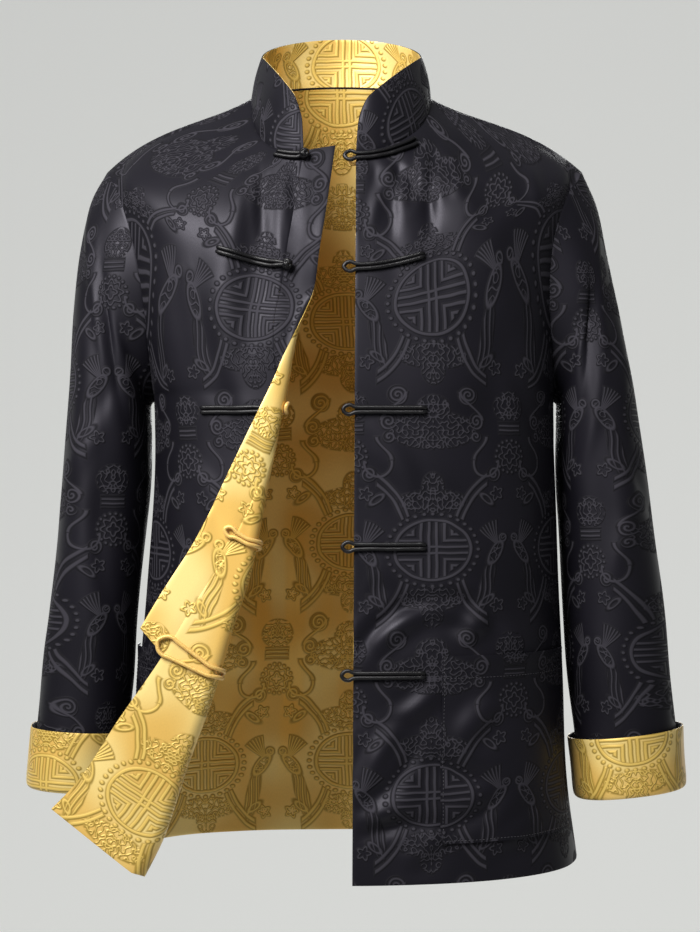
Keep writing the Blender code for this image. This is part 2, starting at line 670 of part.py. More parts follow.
def sleeve_grid(side, count=24):
    """Rings of the sleeve from its head, lapped over the armhole, to its end inside the cuff."""
    turn = np.linspace(0, 2 * math.pi, count, endpoint=False)
    edge, normal = armhole(turn, side)
    along = np.roll(edge, -1, 0) - np.roll(edge, 1, 0)
    inward = np.cross(along, normal)
    inward /= np.linalg.norm(inward, axis=1, keepdims=True)
    inward *= np.sign((inward * (edge.mean(0) - edge)).sum(1, keepdims=True))
    rings = [edge + normal * (WALL + SEAM) - inward * LAP]
    c, s = np.cos(turn), np.sin(turn)
    reach = (np.abs(c) ** SLEEVE_ROUNDNESS + np.abs(s) ** SLEEVE_ROUNDNESS) ** (-1 / SLEEVE_ROUNDNESS)
    for outer_x, outer_z, inner_x, inner_z, half_depth, forward in SLEEVE[side]:
        middle = np.array([(outer_x + inner_x) / 2, -forward, (outer_z + inner_z) / 2])
        half = np.array([(outer_x - inner_x) / 2, 0, (outer_z - inner_z) / 2])
        depth = np.array([0, -half_depth, 0])
        out = 1 + sleeve_folds(turn, len(rings)) / half_depth
        rings.append(middle + (out * reach * c)[:, None] * half + (out * reach * s)[:, None] * depth)
    return np.array(rings)


def ring_normals(grid):
    """Normals of a tube, pointing away from its own middle."""
    normals = grid_normals(grid, ring=True)
    away = grid - grid.mean(1, keepdims=True)
    return normals * np.sign((normals[-1] * away[-1]).sum())


def make_sleeve(side):
    grid = sleeve_grid(side)
    add_wall("sleeve_" + side, grid, ring_normals(grid), BLACK, ring=True)


def make_cuff(side):
    """The sleeve's end, turned up outside: a short inner leg, a round turn and a flared band."""
    sleeve = sleeve_grid(side)
    normals = ring_normals(sleeve)
    down = sleeve[-1].mean(0) - sleeve[-2].mean(0)
    down /= np.linalg.norm(down)
    rings = []
    for out, below in CUFF:
        way = normals[-1] - down * (normals[-1] @ down)[:, None]
        way /= np.linalg.norm(way, axis=1, keepdims=True)
        end = sleeve[-1]
        if below < 0:  # beside the sleeve the band follows its slope
            slope = sleeve[-1] - sleeve[-2]
            slope /= np.linalg.norm(slope, axis=1, keepdims=True)
            rings.append(end + slope * below + way * out)
        else:
            rings.append(end + down * below + way * out)
    grid = np.array(rings)
    turned = grid_normals(grid, ring=True)
    if (turned[0] * normals[-1]).sum() < 0:
        turned = -turned
    add_wall("cuff_" + side, grid, turned, GOLD, ring=True)


def neck_ring():
    """Along the neck's edge, front end to front end: base, the panel's way there, and the collar's top."""
    base, panel, top = [], [], []
    for side, face in (("right", "front"), ("right", "back"), ("left", "back"), ("left", "front")):
        t = COLLAR_FRONT_COLUMNS if face == "front" else COLLAR_BACK_COLUMNS
        edge = neckline(t, side, face)
        if (side, face) == ("right", "front"):
            from_seam, below = right_row(NEAR_NECK)
            below = pick(below[::-1], from_seam[::-1], t * from_seam[0])
        else:
            below = half_row(NEAR_NECK, side, face)
            below = pick(below, np.linspace(0, 1, len(below)), t)
        way = (edge - below) / np.linalg.norm(edge - below, axis=1, keepdims=True)
        if face == "front":
            side_x, end_x = COLLAR_TOP[side]
            high = np.stack(
                [
                    mix(end_x, side_x, t),
                    -COLLAR_TOP_DEPTH * np.cos(t * math.pi / 2) ** COLLAR_BOW,
                    mix(COLLAR_TOP_FRONT, COLLAR_TOP_SIDE, t),
                ],
                -1,
            )
        else:
            middle = sum(x for x, _ in COLLAR_TOP.values()) / 2
            sine, cosine = np.sin(t * math.pi / 2), np.cos(t * math.pi / 2)
            high = np.stack(
                [
                    mix(middle, COLLAR_TOP[side][0], sine),
                    (NECK_DEPTH["back"] - 1) * cosine,
                    mix(COLLAR_TOP_SIDE, NECK_BACK + COLLAR_HEIGHT_BACK, cosine),
                ],
                -1,
            )
        onward = (side, face) in (("right", "front"), ("left", "back"))
        order = slice(None) if onward else slice(None, None, -1)
        keep = slice(0, -1) if (side, face) != ("left", "front") else slice(None)
        for target, found in ((base, edge), (panel, way), (top, high)):
            target.append(found[order][keep])
    return np.concatenate(base), np.concatenate(panel), np.concatenate(top)


def make_collar():
    base, panel, top = neck_ring()
    distance = along_cloth(base)
    from_end = np.minimum(distance, distance[-1] - distance)
    rise = top - base
    height = np.linalg.norm(rise, axis=1)
    way = rise / height[:, None]
    corner = np.sqrt(COLLAR_ROUND**2 - np.clip(COLLAR_ROUND - from_end, 0, None) ** 2)
    height = height - (COLLAR_ROUND - corner)
    turn = np.linalg.norm(np.cross(panel, way), axis=1)
    seat = SEAM + turn * WALL / 2
    grid = np.array([base + way * mix(seat, height, share)[:, None] for share in COLLAR_ROWS])
    add_wall("collar", grid, grid_normals(grid), BLACK)


def pocket_columns(side, z):
    """The right pocket's near edge runs into the turned edge, so its columns follow the bend."""
    if side == "left":
        return np.linspace(POCKET_NEAR, POCKET_FAR, 14)
    turn = turn_columns(z)
    columns = np.concatenate([turn, mix(turn[-1], POCKET_FAR, np.linspace(0, 1, 8)[1:])])
    columns[0] = POCKET_NEAR
    return np.maximum(columns, POCKET_NEAR + np.arange(len(columns)))


def make_pocket(side, cloth, outward):
    rows = np.linspace(POCKET_BOTTOM, POCKET_TOP, 7)
    spots = [[(u, z) for u in pocket_columns(side, z)] for z in rows]
    normals = np.array([[cloth_normal(cloth, u, z, outward) for u, z in row] for row in spots])
    places = np.array([[cloth(u, z) for u, z in row] for row in spots])
    lift = WALL / 2 + POCKET_GAP[side] + POCKET_WALL / 2
    add_wall("pocket_" + side, places + normals * lift, normals, BLACK, POCKET_WALL)


def frog_place(cloth, u, z, lift, outward):
    normal = cloth_normal(cloth, u, z, outward)
    return cloth(u, z) + normal * (WALL / 2 + lift), normal


def make_loop(name, cloth, height, outward, spread, run, gap, color):
    """Two cords side by side that meet in a loop; with a spread over 1 they part on their way to it."""
    tip = -FROG_REACH - LOOP_TIP
    half = [(u, 1.0) for u in np.linspace(FROG_LENGTH, RUN_START, run)] + list(LOOP_END)
    half = [(u, share + (spread - 1) * min(1 - u / FROG_LENGTH, 1 - u / tip)) for u, share in half]
    sides = half + [(tip, 0.0)] + [(u, -share) for u, share in reversed(half)]
    lift = gap + CORD_RADIUS
    path = [frog_place(cloth, u, height + share * CORD_SPACING, lift, outward) for u, share in sides]
    add_tube(name, path, [(CORD_RADIUS, CORD_RADIUS)] * len(path), color, sides=5)


def make_knot(name, cloth, height, back, outward, run, gap, color):
    band = [(u, BAND_HALF, CORD_RADIUS) for u in np.linspace(FROG_LENGTH, RUN_START, run)]
    knot = band + list(KNOT_END)
    path = [frog_place(cloth, u + back, height, gap + tall, outward) for u, _, tall in knot]
    add_tube(name, path, [(wide, tall) for _, wide, tall in knot], color, sides=8)


def make_frogs():
    """Five fastenings on each face: loops on one front, knots on the other."""
    for i, (height, black_back, gold_back, spread, run, gap) in enumerate(FROGS, 1):
        make_loop(f"loop_black_{i}", left_cloth, height, 1, 1.0, *LEFT_RUN, BLACK)
        make_knot(f"knot_black_{i}", right_cloth, height, black_back, -1, run, gap, BLACK)
        make_knot(f"knot_gold_{i}", left_cloth, height, gold_back, -1, *LEFT_RUN, GOLD)
        make_loop(f"loop_gold_{i}", right_cloth, height, 1, spread, run, gap, GOLD)


def main():
    for old in list(bpy.data.objects):
        bpy.data.objects.remove(old)
    make_back()
    make_left_front()
    make_right_front()
    make_collar()
    for side, cloth, outward in (("left", left_cloth, 1), ("right", right_cloth, -1)):
        make_sleeve(side)
        make_cuff(side)
        make_pocket(side, cloth, outward)
    make_frogs()


main()
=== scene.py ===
"""A black and gold tang jacket, filled out as worn, its right front hanging open and turned back.

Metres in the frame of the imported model; the cutting and shaping below are worked in millimetres.
"""

import math

import bmesh
import bpy
import numpy as np
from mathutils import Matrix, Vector


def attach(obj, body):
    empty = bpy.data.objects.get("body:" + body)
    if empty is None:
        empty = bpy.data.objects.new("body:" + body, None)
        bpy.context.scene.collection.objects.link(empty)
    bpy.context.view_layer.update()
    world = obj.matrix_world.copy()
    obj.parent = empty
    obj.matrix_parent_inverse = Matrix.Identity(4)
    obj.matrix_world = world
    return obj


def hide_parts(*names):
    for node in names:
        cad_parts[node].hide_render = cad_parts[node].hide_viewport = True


# The studio: a pale paper sweep well below the hem, a large soft light high on the wearer's right, a weaker
# one behind, and a level camera two and a half paces in front.
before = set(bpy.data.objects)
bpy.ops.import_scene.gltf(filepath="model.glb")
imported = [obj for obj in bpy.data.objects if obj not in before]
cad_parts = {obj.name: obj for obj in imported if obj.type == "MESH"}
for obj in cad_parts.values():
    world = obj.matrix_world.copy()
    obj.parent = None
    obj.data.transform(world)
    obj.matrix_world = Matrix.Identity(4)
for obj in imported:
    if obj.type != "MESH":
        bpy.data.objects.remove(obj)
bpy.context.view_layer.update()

MM = 0.001
scene = bpy.context.scene
EYE_DISTANCE, EYE_HEIGHT, EYE_LENS = 2.4, -0.348, 96.57
LIGHT_SPREAD = 120  # degrees


def put(name, data):
    """A new object in the scene."""
    made = bpy.data.objects.new(name, data)
    scene.collection.objects.link(made)
    return made


eye = bpy.data.cameras.new("eye")
eye.sensor_width = 36
eye.lens = EYE_LENS
camera = put("eye", eye)
camera.location = (0, -EYE_DISTANCE, EYE_HEIGHT)
camera.rotation_euler = (math.pi / 2, 0, 0)
scene.camera = camera
scene.view_settings.view_transform = "Standard"


def soft_light(name, place, aim, size, power, color):
    lamp = bpy.data.lights.new(name, "AREA")
    lamp.shape = "RECTANGLE"
    lamp.size, lamp.size_y = size
    lamp.energy = power
    lamp.color = color
    lamp.spread = math.radians(LIGHT_SPREAD)
    made = put(name, lamp)
    made.location = place
    made.rotation_euler = Vector(np.subtract(aim, place)).to_track_quat("-Z", "Y").to_euler()


soft_light("key", (-0.95, -1.5, 1.05), (-0.02, 0, -0.3), (1.1, 1.1), 45, (1, 0.985, 0.97))
soft_light("back", (0.2, 2.4, 0.45), (0, 0, -0.35), (1.6, 1.6), 24, (0.98, 0.99, 1))

world = bpy.data.worlds.new("studio")
world.use_nodes = True
world.node_tree.nodes["Background"].inputs["Color"].default_value = (0.86, 0.87, 0.87, 1)
world.node_tree.nodes["Background"].inputs["Strength"].default_value = 0.24
scene.world = world


class Socket:
    """A socket of a node tree, so that its maths can be written as an expression."""

    def __init__(self, tree, link):
        self.tree, self.link = tree, link

    def maths(self, operation, *others):
        return node(self.tree, "ShaderNodeMath", {"operation": operation}, self, *others)

    def __add__(self, other):
        return self.maths("ADD", other)

    def __sub__(self, other):
        return self.maths("SUBTRACT", other)

    def __rsub__(self, other):
        return node(self.tree, "ShaderNodeMath", {"operation": "SUBTRACT"}, other, self)

    def __mul__(self, other):
        return self.maths("MULTIPLY", other)

    def __truediv__(self, other):
        return self.maths("DIVIDE", other)

    def __abs__(self):
        return self.maths("ABSOLUTE")

    def other(self, name):
        """Another output of the same node."""
        return Socket(self.tree, self.link.node.outputs[name])

    def least(self, other):
        return self.maths("MINIMUM", other)

    def most(self, other):
        return self.maths("MAXIMUM", other)

    def wrapped(self, half):
        """Repeats along a line: the distance from the nearest of the points 2 * half apart."""
        return self.maths("WRAP", half, -half)

    def ramp(self, low, high, start=0, end=1):
        """Smoothly from start, at low, to end, at high."""
        settings = {"interpolation_type": "SMOOTHSTEP"}
        return node(self.tree, "ShaderNodeMapRange", settings, self, low, high, start, end)


def node(tree, kind, settings=None, *values, **named):
    """Adds a node of any kind: its settings first, then its sockets in order, then those given by name."""
    made = tree.nodes.new(kind)
    for key, value in (settings or {}).items():
        setattr(made, key, value)
    sockets = [s for s in made.inputs if s.enabled]
    for target, value in [*zip(sockets, values), *((made.inputs[k], v) for k, v in named.items())]:
        if isinstance(value, Socket):
            tree.links.new(value.link, target)
        elif value is not None:
            target.default_value = value
    return Socket(tree, next((s for s in made.outputs if s.enabled), None))


def noise(tree, scale, detail=0, place=None):
    """Noise in an object's own space, or over a flat place."""
    settings = {} if place is None else {"noise_dimensions": "2D"}
    return node(tree, "ShaderNodeTexNoise", settings, place, Scale=scale, Detail=detail)


def blend(tree, share, first, second, way="MIX"):
    """From the first colour to the second; either may be three numbers or a socket."""
    settings = {"data_type": "RGBA", "blend_type": way}
    colours = [(*c, 1) if isinstance(c, tuple) else c for c in (first, second)]
    return node(tree, "ShaderNodeMix", settings, share, *colours)


def new_material(name, **constants):
    """A material with its shader's constant sockets set; returns it with its tree and a setter."""
    made = bpy.data.materials.new(name)
    made.use_nodes = True
    tree = made.node_tree
    shader = tree.nodes["Principled BSDF"]
    for key, value in constants.items():
        shader.inputs[key.replace("_", " ")].default_value = value

    def feed(socket, value):
        tree.links.new(value.link, shader.inputs[socket])

    return made, tree, feed


SWEEP = ((-3, -3.4), (3.4, -3.4), (4.1, -3.1), (4.45, -2.5), (4.5, -1.8), (4.5, 4))
paper, tree, feed = new_material(
    "pale_paper", Roughness=0.9, Emission_Color=(0.83, 0.84, 0.82, 1), Emission_Strength=0.465
)
feed("Base Color", blend(tree, noise(tree, 3, 2) * 0.3, (0.54, 0.545, 0.53), (0.57, 0.575, 0.56)))
sweep_points = [(x, y, z) for y, z in SWEEP for x in (-6, 6)]
sweep_faces = [(2 * i, 2 * i + 1, 2 * i + 3, 2 * i + 2) for i in range(len(SWEEP) - 1)]
sweep_mesh = bpy.data.meshes.new("sweep")
sweep_mesh.from_pydata(sweep_points, [], sweep_faces)
sweep_mesh.materials.append(paper)
sweep_mesh.shade_smooth()
sweep = put("sweep", sweep_mesh)

# The cloth: silk brocade in two faces, black satin outside and gold satin inside, woven with one figure.
# Fret roundels stand in a half drop with flower medallions; double bands arch between them over pairs of
# birds, with curling scrolls, cloud clusters and pearls. The figure is dull and raised on the shiny satin.
REPEAT_WIDE, REPEAT_TALL = 150, 221.5


def stroke(distance, half):
    """Distance from the edge of a line, below 0 on the line, in millimetres like all below."""
    return abs(distance) - half


def radius(x, y):
    point = node(x.tree, "ShaderNodeCombineXYZ", {}, x, y)
    return node(x.tree, "ShaderNodeVectorMath", {"operation": "LENGTH"}, point)


def turns(x, y):
    """The angle round the origin, in whole turns."""
    return y.maths("ARCTAN2", x) / (2 * math.pi)


def oval(x, y, wide, tall):
    return (radius(x / wide, y / tall) - 1) * min(wide, tall)


def curl(x, y, reach, pitch, hand):
    """A line that winds in round the origin."""
    away = radius(x, y)
    return stroke((away / pitch - turns(x, y * hand)).wrapped(0.5) * pitch, 0.9).most(away - reach)


def pearls(x, y, ring, count, size):
    arc = (turns(x, y) * count).wrapped(0.5) * (2 * math.pi * ring / count)
    return radius(arc, radius(x, y) - ring) - size


def petals(x, y, ring, lobe, count):
    """The outline of a flower."""
    wave = (turns(x, y) * (2 * math.pi * count)).maths("COSINE")
    return stroke(radius(x, y) - wave * lobe - ring, 0.8)


def turned(x, y, degrees):
    c, s = math.cos(math.radians(degrees)), math.sin(math.radians(degrees))
    return x * c + y * s, y * c - x * s


def woven_figure(tree, u, v):
    """Distance from the edge of the figure, below 0 on it, at u across and v up the cloth in millimetres."""
    half_wide, half_tall = REPEAT_WIDE / 2, REPEAT_TALL / 2
    mx = abs(u.wrapped(half_wide))
    nx = half_wide - mx
    ay = v.wrapped(half_tall)
    my = abs(ay)
    by = (v - half_tall).wrapped(half_tall)
    flat = node(tree, "ShaderNodeCombineXYZ", {}, mx / 4.6, v / 4.6)
    swirl = noise(tree, 1, place=flat)
    curls = stroke((swirl - 0.5) * 10, 0.75)

    # The fret roundel in its ring and pearls
    rx, ry = mx * 1.02, my * 1.3
    away = radius(rx, ry)
    cross = abs(rx - 3.5).least(abs(ry - 3.7))
    fret = abs((rx - 10.9).least(ry - 11.1)).least(abs((rx - 18).least(ry - 18.2)).most(away - 28.5))
    roundel = (cross.least(fret) - 1.35).most(away - 33.4).least(stroke(away - 35.4, 1.4))
    figure = roundel.least(pearls(rx, ry, 42.5, 32, 1.7))

    # Clusters of curling cloud above and below it and between two roundels
    cluster = oval(mx, my - 44, 31, 10.5).least(oval(mx, my - 57, 10, 13))
    cluster = cluster.least(oval(mx, by + 2, 40, 17)).least(oval(mx, by - 17, 15, 13))

    # The medallion: a flower under a waist of bars, with scrolls at both sides
    flower_y = by + 26
    flower = petals(nx, flower_y, 10.2, 1.7, 8).least(petals(nx, flower_y, 5, 1.3, 4))
    flower = flower.least(pearls(nx, flower_y, 14.8, 18, 1.2))
    waist = stroke((abs(by) - 2).wrapped(2.2), 0.75).most(nx - 11).most(abs(by) - 5.5)
    cluster = cluster.least(oval(nx, by - 20, 15, 14))
    figure = figure.least(flower).least(waist)
    rise = ((by - 20) * (math.pi / 26)).maths("SINE")
    scroll = stroke((nx - rise * 11 - 39) * 0.72, 1.1).most(abs(by - 20) - 13)
    dip = ((by + 18.5) * (math.pi / 21)).maths("SINE")
    scroll = scroll.least(stroke((nx + dip * 6.5 - 30.5) * 0.75, 1.1).most(abs(by + 18.5) - 10.5))
    scroll = scroll.least(stroke(radius(nx - 25, by + 32) - 12.3, 1.1).most(by + 29.5))
    for x, y, reach, hand in ((34, 6, 7.4, 1), (42.5, 30, 8.8, -1), (35, -8, 5, -1), (17, -42, 6.4, 1)):
        scroll = scroll.least(curl(nx - x, by - y, reach, 3.9, hand))
    figure = figure.least(scroll)

    # The bands that arch from medallion to roundel, and the birds between: body, head, raised wing and tail
    arch = oval(nx, my, 55, 71)
    band = stroke(abs(arch) - 2.8, 1.2).most(24 - nx).most(45.5 - away)
    figure = figure.least(band)
    wing_x, wing_y = nx - 11, ay - 1
    spread = radius(wing_x, wing_y)
    feather = stroke((turns(wing_x, wing_y) * 44).wrapped(0.5) * spread * 0.143, 0.7)
    wing = (abs(spread - 15.5) - 10).most(wing_y - wing_x * 14).most(wing_x * 0.8 - wing_y)
    body = oval(*turned(nx - 15, ay + 3, -52), 12, 5).least(radius(nx - 6.5, ay - 10.5) - 3.4)
    cluster = cluster.least(body)
    tail = stroke((nx + ay * 0.24 + (ay * 0.11).maths("SINE") * 2.4).wrapped(2.4), 0.8)
    tail = tail.most(oval(*turned(nx - 25, ay + 33, -76), 24, 6))
    figure = figure.least(feather.most(wing)).least(stroke(body, 0.8)).least(tail)

    # Small flowers and leaves in the open ground
    figure = figure.least(petals(nx - 14, my - 51, 4.8, 1.4, 5))
    leaf = oval(*turned(nx - 24, my - 46, 35), 6.8, 2.8)
    return figure.least(stroke(leaf, 0.7)).least(curls.most(cluster))


def brocade(name, ground, tone_and_shade_patches, figure, groove_shade, roughness, lift, **constants):
    """Satin of one colour with the figure in another, edged with painted shade for the grooves beside the raised
    figure; lift is how far it stands up, in metres.
    """
    made, tree, feed = new_material(name, **constants)
    place = node(tree, "ShaderNodeUVMap", {"uv_map": "cloth"})
    split = node(tree, "ShaderNodeSeparateXYZ", {}, place)
    wobble = noise(tree, 70, place=place)
    u = split * 1000 + wobble * 1.2
    v = split.other("Y") * 1000 + wobble * 0.9
    drawn = woven_figure(tree, u, v)
    grain = node(tree, "ShaderNodeCombineXYZ", {}, split * 1700, split.other("Y") * 420)
    threads = noise(tree, 1, place=grain)
    # Soft patches between the ground and the second colour: painted sheen and painted shade on the gold, uneven
    # tone on the black
    satin = blend(tree, noise(tree, 14, place=place).ramp(0.3, 0.7), ground, tone_and_shade_patches)
    satin = blend(tree, threads * 0.35, satin, (0.7, 0.7, 0.7), "MULTIPLY")
    body, rim = drawn.ramp(-0.7, 0.5, 1, 0), drawn.ramp(0.3, 2.3, 1, 0)
    # Painted shade: the dark edging stands for the shade in the grooves beside the raised figure
    satin = blend(tree, rim * 0.9, satin, groove_shade)
    feed("Base Color", blend(tree, body, satin, figure))
    feed("Roughness", rim * (roughness[1] - roughness[0]) + threads * 0.08 + (roughness[0] - 0.04))
    height = drawn.ramp(-1, 1.6, 1, 0)
    feed("Normal", node(tree, "ShaderNodeBump", {}, Strength=1, Distance=lift, Height=height))
    return made


# Black colours: ground, its uneven tone, figure, and the painted shade of the grooves round the figure
black_brocade = brocade(
    "black_silk", (0.0045, 0.0042, 0.0065), (0.0065, 0.006, 0.009), (0.027, 0.0255, 0.032), (0.001, 0.001, 0.0015),
    (0.46, 0.78), 0.00042,
    Specular_IOR_Level=0.24, Specular_Tint=(0.90, 0.87, 1, 1),
)
# Gold colours: ground, then painted shade in soft patches over it, figure, and the painted shade of the grooves
# round the figure
gold_brocade = brocade(
    "gold_silk", (0.95, 0.73, 0.27), (0.80, 0.50, 0.12), (0.72, 0.50, 0.12), (0.30, 0.19, 0.02),
    (0.34, 0.48), 0.0004,
    Metallic=0.3, Sheen_Weight=0.15, Sheen_Roughness=0.4, Sheen_Tint=(1, 0.9, 0.6, 1),
)

# The left front: one piece of the two-faced cloth from the centre-front edge to the side seam, armhole and
# shoulder. It is cut flat, sewn at the side and shoulder, and hangs from the shoulder in soft folds.
WALL, SEAM = 2.2, 0.06  # the two faces together, and the gap left at a seam
LAYER = 1  # one face
HEM_FRONT, HEM_SIDE, HEM_BACK = -726, -718, -716
NECK_FRONT, NECK_SIDE, NECK_BACK = -56, 2, 26
ARMPIT, SHOULDER_TIP = -280, -67
ARMHOLE_DEPTH = {"front": 62, "back": 58}
NECK_X = {"right": -94, "left": 77}
NECK_DEPTH = {"front": 84, "back": 72}
UPPER_CHEST, UPPER_BACK = -136, -112
CENTRE_HEIGHTS = {"front": (HEM_FRONT, UPPER_CHEST, NECK_FRONT), "back": (HEM_BACK, UPPER_BACK, NECK_BACK)}
OUT, AHEAD = {"left": 1, "right": -1}, {"front": -1, "back": 1}
BOXINESS = 2.7
BODY = np.array([
    # height, right, left, front, back
    (-730, -209, 216.5, 150, 136),
    (-659, -204.5, 207, 148, 132),
    (-556, -201, 202, 144, 126),
    (-463, -193, 198, 142, 122),
    (-316, -185.5, 193.5, 138, 117),
    (-280, -187, 193.5, 137, 116),
    (-220, -199, 196, 132, 114),
    (-160, -212, 201, 123, 110),
    (-113, -222, 208, 112, 102),
    (-67, -232, 222, 96, 90),
])
CENTRE_X_TOP, CENTRE_X_HEM = 5.5, 2
NECK_OPEN_X = -43  # where the open right front's neckline begins
V_ARMPIT, V_TIP = 0.666, 0.88  # the rows, from 0 at the hem to 1 at the neck, of the armpit and shoulder's tip
YOKE_STEP, YOKE_SOFT, SHOULDER_ROUND = 0.01, 0.8, 10
LEFT_FOLDS = (
    # x, z at both ends, width, depth
    (18, 0, 46, -190, 13, -4),
    (52, 0, 88, -200, 14, -5),
    (98, -70, 150, -210, 18, 5),
    (150, -215, 120, -330, 20, -5),
    (20, -452, 120, -512, 14, -5),
    (80, -400, 165, -462, 16, 4),
    (14, -575, 70, -690, 18, 4.5),
)
BACK_FOLDS = (
    (-150, -150, -60, -60, 22, 5),
    (135, -150, 45, -60, 22, 5),
    (-165, -250, -120, -560, 26, -6),
    (150, -240, 118, -540, 26, -6),
    (-30, -330, -50, -690, 30, 5),
    (40, -300, 60, -690, 30, -5),
)
GRID_STEP = 4  # spacing of the cloth's points
SHARP_ANGLE = 50  # degrees
DENSE = 300  # points across a row before the grid is cut from it
BODY_LONG, YOKE_LONG = 590, 115  # the cloth's length below and above the shoulder's tip
SETTLE_NEAR, SETTLE_PASSES = 0.09, 70


def smooth_rows(table, at):
    """Every column of a table at the keys `at`, on smooth curves through its rows."""
    key, at = table[:, 0], np.clip(at, table[0, 0], table[-1, 0])
    slopes = np.gradient(table, key, axis=0)
    low = np.clip(np.searchsorted(key, at, "right") - 1, 0, len(key) - 2)
    step = key[low + 1] - key[low]
    t = ((at - key[low]) / step)[..., None]
    step = step[..., None]
    return curve(table[low], slopes[low] * step, table[low + 1], slopes[low + 1] * step, t)


def curve(a, leave, b, arrive, t):
    """A smooth way from a to b, with its slopes at both ends."""
    out = (1 - t) ** 2
    return a * (1 + 2 * t) * out + leave * t * out + b * t * t * (3 - 2 * t) + arrive * t * t * (t - 1)


def ease(x):
    x = np.clip(x, 0, 1)
    return x * x * (3 - 2 * x)


def mix(a, b, t):
    return a + (b - a) * t


def unit(vectors):
    return vectors / np.linalg.norm(vectors, axis=-1, keepdims=True)


def boxed(c, s, power):
    """How far a rounded box of half width 1 reaches at an angle with this cosine and sine."""
    return (np.abs(c) ** power + np.abs(s) ** power) ** (-1 / power)


def body_plan(height, face):
    """Middle, half width and depth of the body's plan on one face."""
    row = smooth_rows(BODY, np.asarray(height, float))
    return (row[..., 1] + row[..., 2]) / 2, (row[..., 2] - row[..., 1]) / 2, row[..., 3 if face == "front" else 4]


def body_angle(x, height, side, face):
    middle, half, _ = body_plan(height, face)
    out = np.clip((x - middle) * OUT[side] / half, -1, 1)
    return np.arctan2((1 - np.abs(out) ** BOXINESS) ** (1 / BOXINESS), out)


def body_point(angle, height, side, face):
    middle, half, depth = body_plan(height, face)
    c, s = np.cos(angle), np.sin(angle)
    reach = boxed(c, s, BOXINESS)
    x, y = middle + OUT[side] * half * reach * c, AHEAD[face] * depth * reach * s
    return np.stack([x, y, height + 0 * x], -1)


def body_normal(angle, height, side, face):
    e = 1e-3
    across = body_point(angle + e, height, side, face) - body_point(angle - e, height, side, face)
    up = body_point(angle, height + 1, side, face) - body_point(angle, height - 1, side, face)
    return unit(np.cross(up, across) * OUT[side] * -AHEAD[face])


def edge_angle(around, height, face):
    """Angle round the body's plan of the armhole's edge, around = 0 at its lowest point and pi at its top."""
    forward = np.clip(ARMHOLE_DEPTH[face] * np.abs(np.sin(around)) / body_plan(height, face)[2], 0, 0.99)
    return np.arctan2(forward, (1 - forward**BOXINESS) ** (1 / BOXINESS))


def outer_edge(v, face):
    """Side seam up to the armpit, then round the armhole to the tip of the shoulder: angle and height."""
    around = np.clip((v - V_ARMPIT) / (V_TIP - V_ARMPIT), 0, 1) * math.pi
    armhole = mix(SHOULDER_TIP, ARMPIT, (1 + np.cos(around)) / 2)
    height = np.where(v < V_ARMPIT, mix(HEM_SIDE, ARMPIT, v / V_ARMPIT), armhole)
    return np.where(v < V_ARMPIT, 0, edge_angle(around, height, face)), height


def neckline(t, side, face):
    """The neck's edge, t = 0 at the centre and 1 at the side of the neck."""
    sine, cosine = np.sin(t * math.pi / 2), np.cos(t * math.pi / 2)
    if face == "back":
        x = mix(sum(NECK_X.values()) / 2, NECK_X[side], sine)
        return np.stack([x, NECK_DEPTH["back"] * cosine, mix(NECK_SIDE, NECK_BACK, cosine)], -1)
    start, drop = (NECK_OPEN_X, 1.4) if side == "right" else (CENTRE_X_TOP, 1)
    height = mix(NECK_FRONT, NECK_SIDE, (1 - cosine) ** drop)
    return np.stack([mix(start, NECK_X[side], sine), -NECK_DEPTH["front"] * cosine, height], -1)


def yoke(row, below, top, v, share):
    """From the row at the shoulder's tip the cloth bends over smoothly and runs on to the neck's edge."""
    t = (v - V_TIP) / (1 - V_TIP)
    share = share[:, None] ** 3
    away = (row - below) / YOKE_STEP * (1 - V_TIP) - (top - row)
    round_over = np.array([0, 0, SHOULDER_ROUND]) * 6.75 * share
    return mix(row, top, t) + (YOKE_SOFT * away * (1 - share) + round_over) * t * (1 - t) ** 2


def along_fold(points, x0, z0, x1, z1):
    """Share of the way along a fold and distance beside its line, for points as seen from the front."""
    way = np.array([x1 - x0, z1 - z0])
    place = points[..., [0, 2]] - (x0, z0)
    beside = (place[..., 0] * way[1] - place[..., 1] * way[0]) / np.linalg.norm(way)
    return np.clip(place @ way / (way @ way), 0, 1), beside


def crumple(row, share, folds, forward):
    """Moves a row's points fore and aft by the main folds that they lie on; none at the seams at its ends."""
    out = np.zeros(len(row))
    for *ends, width, depth in folds:
        along, beside = along_fold(row, *ends)
        out += depth * np.sin(along * math.pi) ** 0.7 * np.exp(-((beside / width) ** 2))
    row[:, 1] += forward * out * share
    return row


def half_row(v, side, face):
    """The left front, or a half of the back: dense points from the centre to the outer edge."""
    share = np.linspace(0, 1, DENSE)
    if v > V_TIP:
        row, below = (half_row(low, side, face) for low in (V_TIP, V_TIP - YOKE_STEP))
        return yoke(row, below, neckline(share, side, face), v, share)
    angle, edge_height = outer_edge(np.array(v), face)
    hem, top, _ = CENTRE_HEIGHTS[face]
    height = mix(mix(hem, top, v / V_TIP), edge_height, ease(share))
    if face == "front":
        centre = mix(CENTRE_X_HEM, CENTRE_X_TOP, (height - HEM_FRONT) / (NECK_FRONT - HEM_FRONT))
    else:
        centre = body_plan(height, face)[0]
    row = body_point(mix(body_angle(centre, height, side, face), angle, share), height, side, face)
    return crumple(row, 1 - share**4, LEFT_FOLDS if face == "front" else BACK_FOLDS, AHEAD[face])


def along_cloth(points):
    return np.concatenate([[0], np.cumsum(np.linalg.norm(np.diff(points, axis=0), axis=1))])


def pick(points, key, at):
    """Points of a dense row where its growing key takes the values `at`."""
    return np.stack([np.interp(at, key, points[:, i]) for i in range(points.shape[1])], -1)


def toward_seam(length):
    """Even places along a length, as shares of it, and two more close by the seam at its end."""
    even = np.linspace(0, 1, int(length / GRID_STEP) + 1)[:-1]
    return np.concatenate([even, 1 - np.array([2.8, 1.2, 0]) / length])


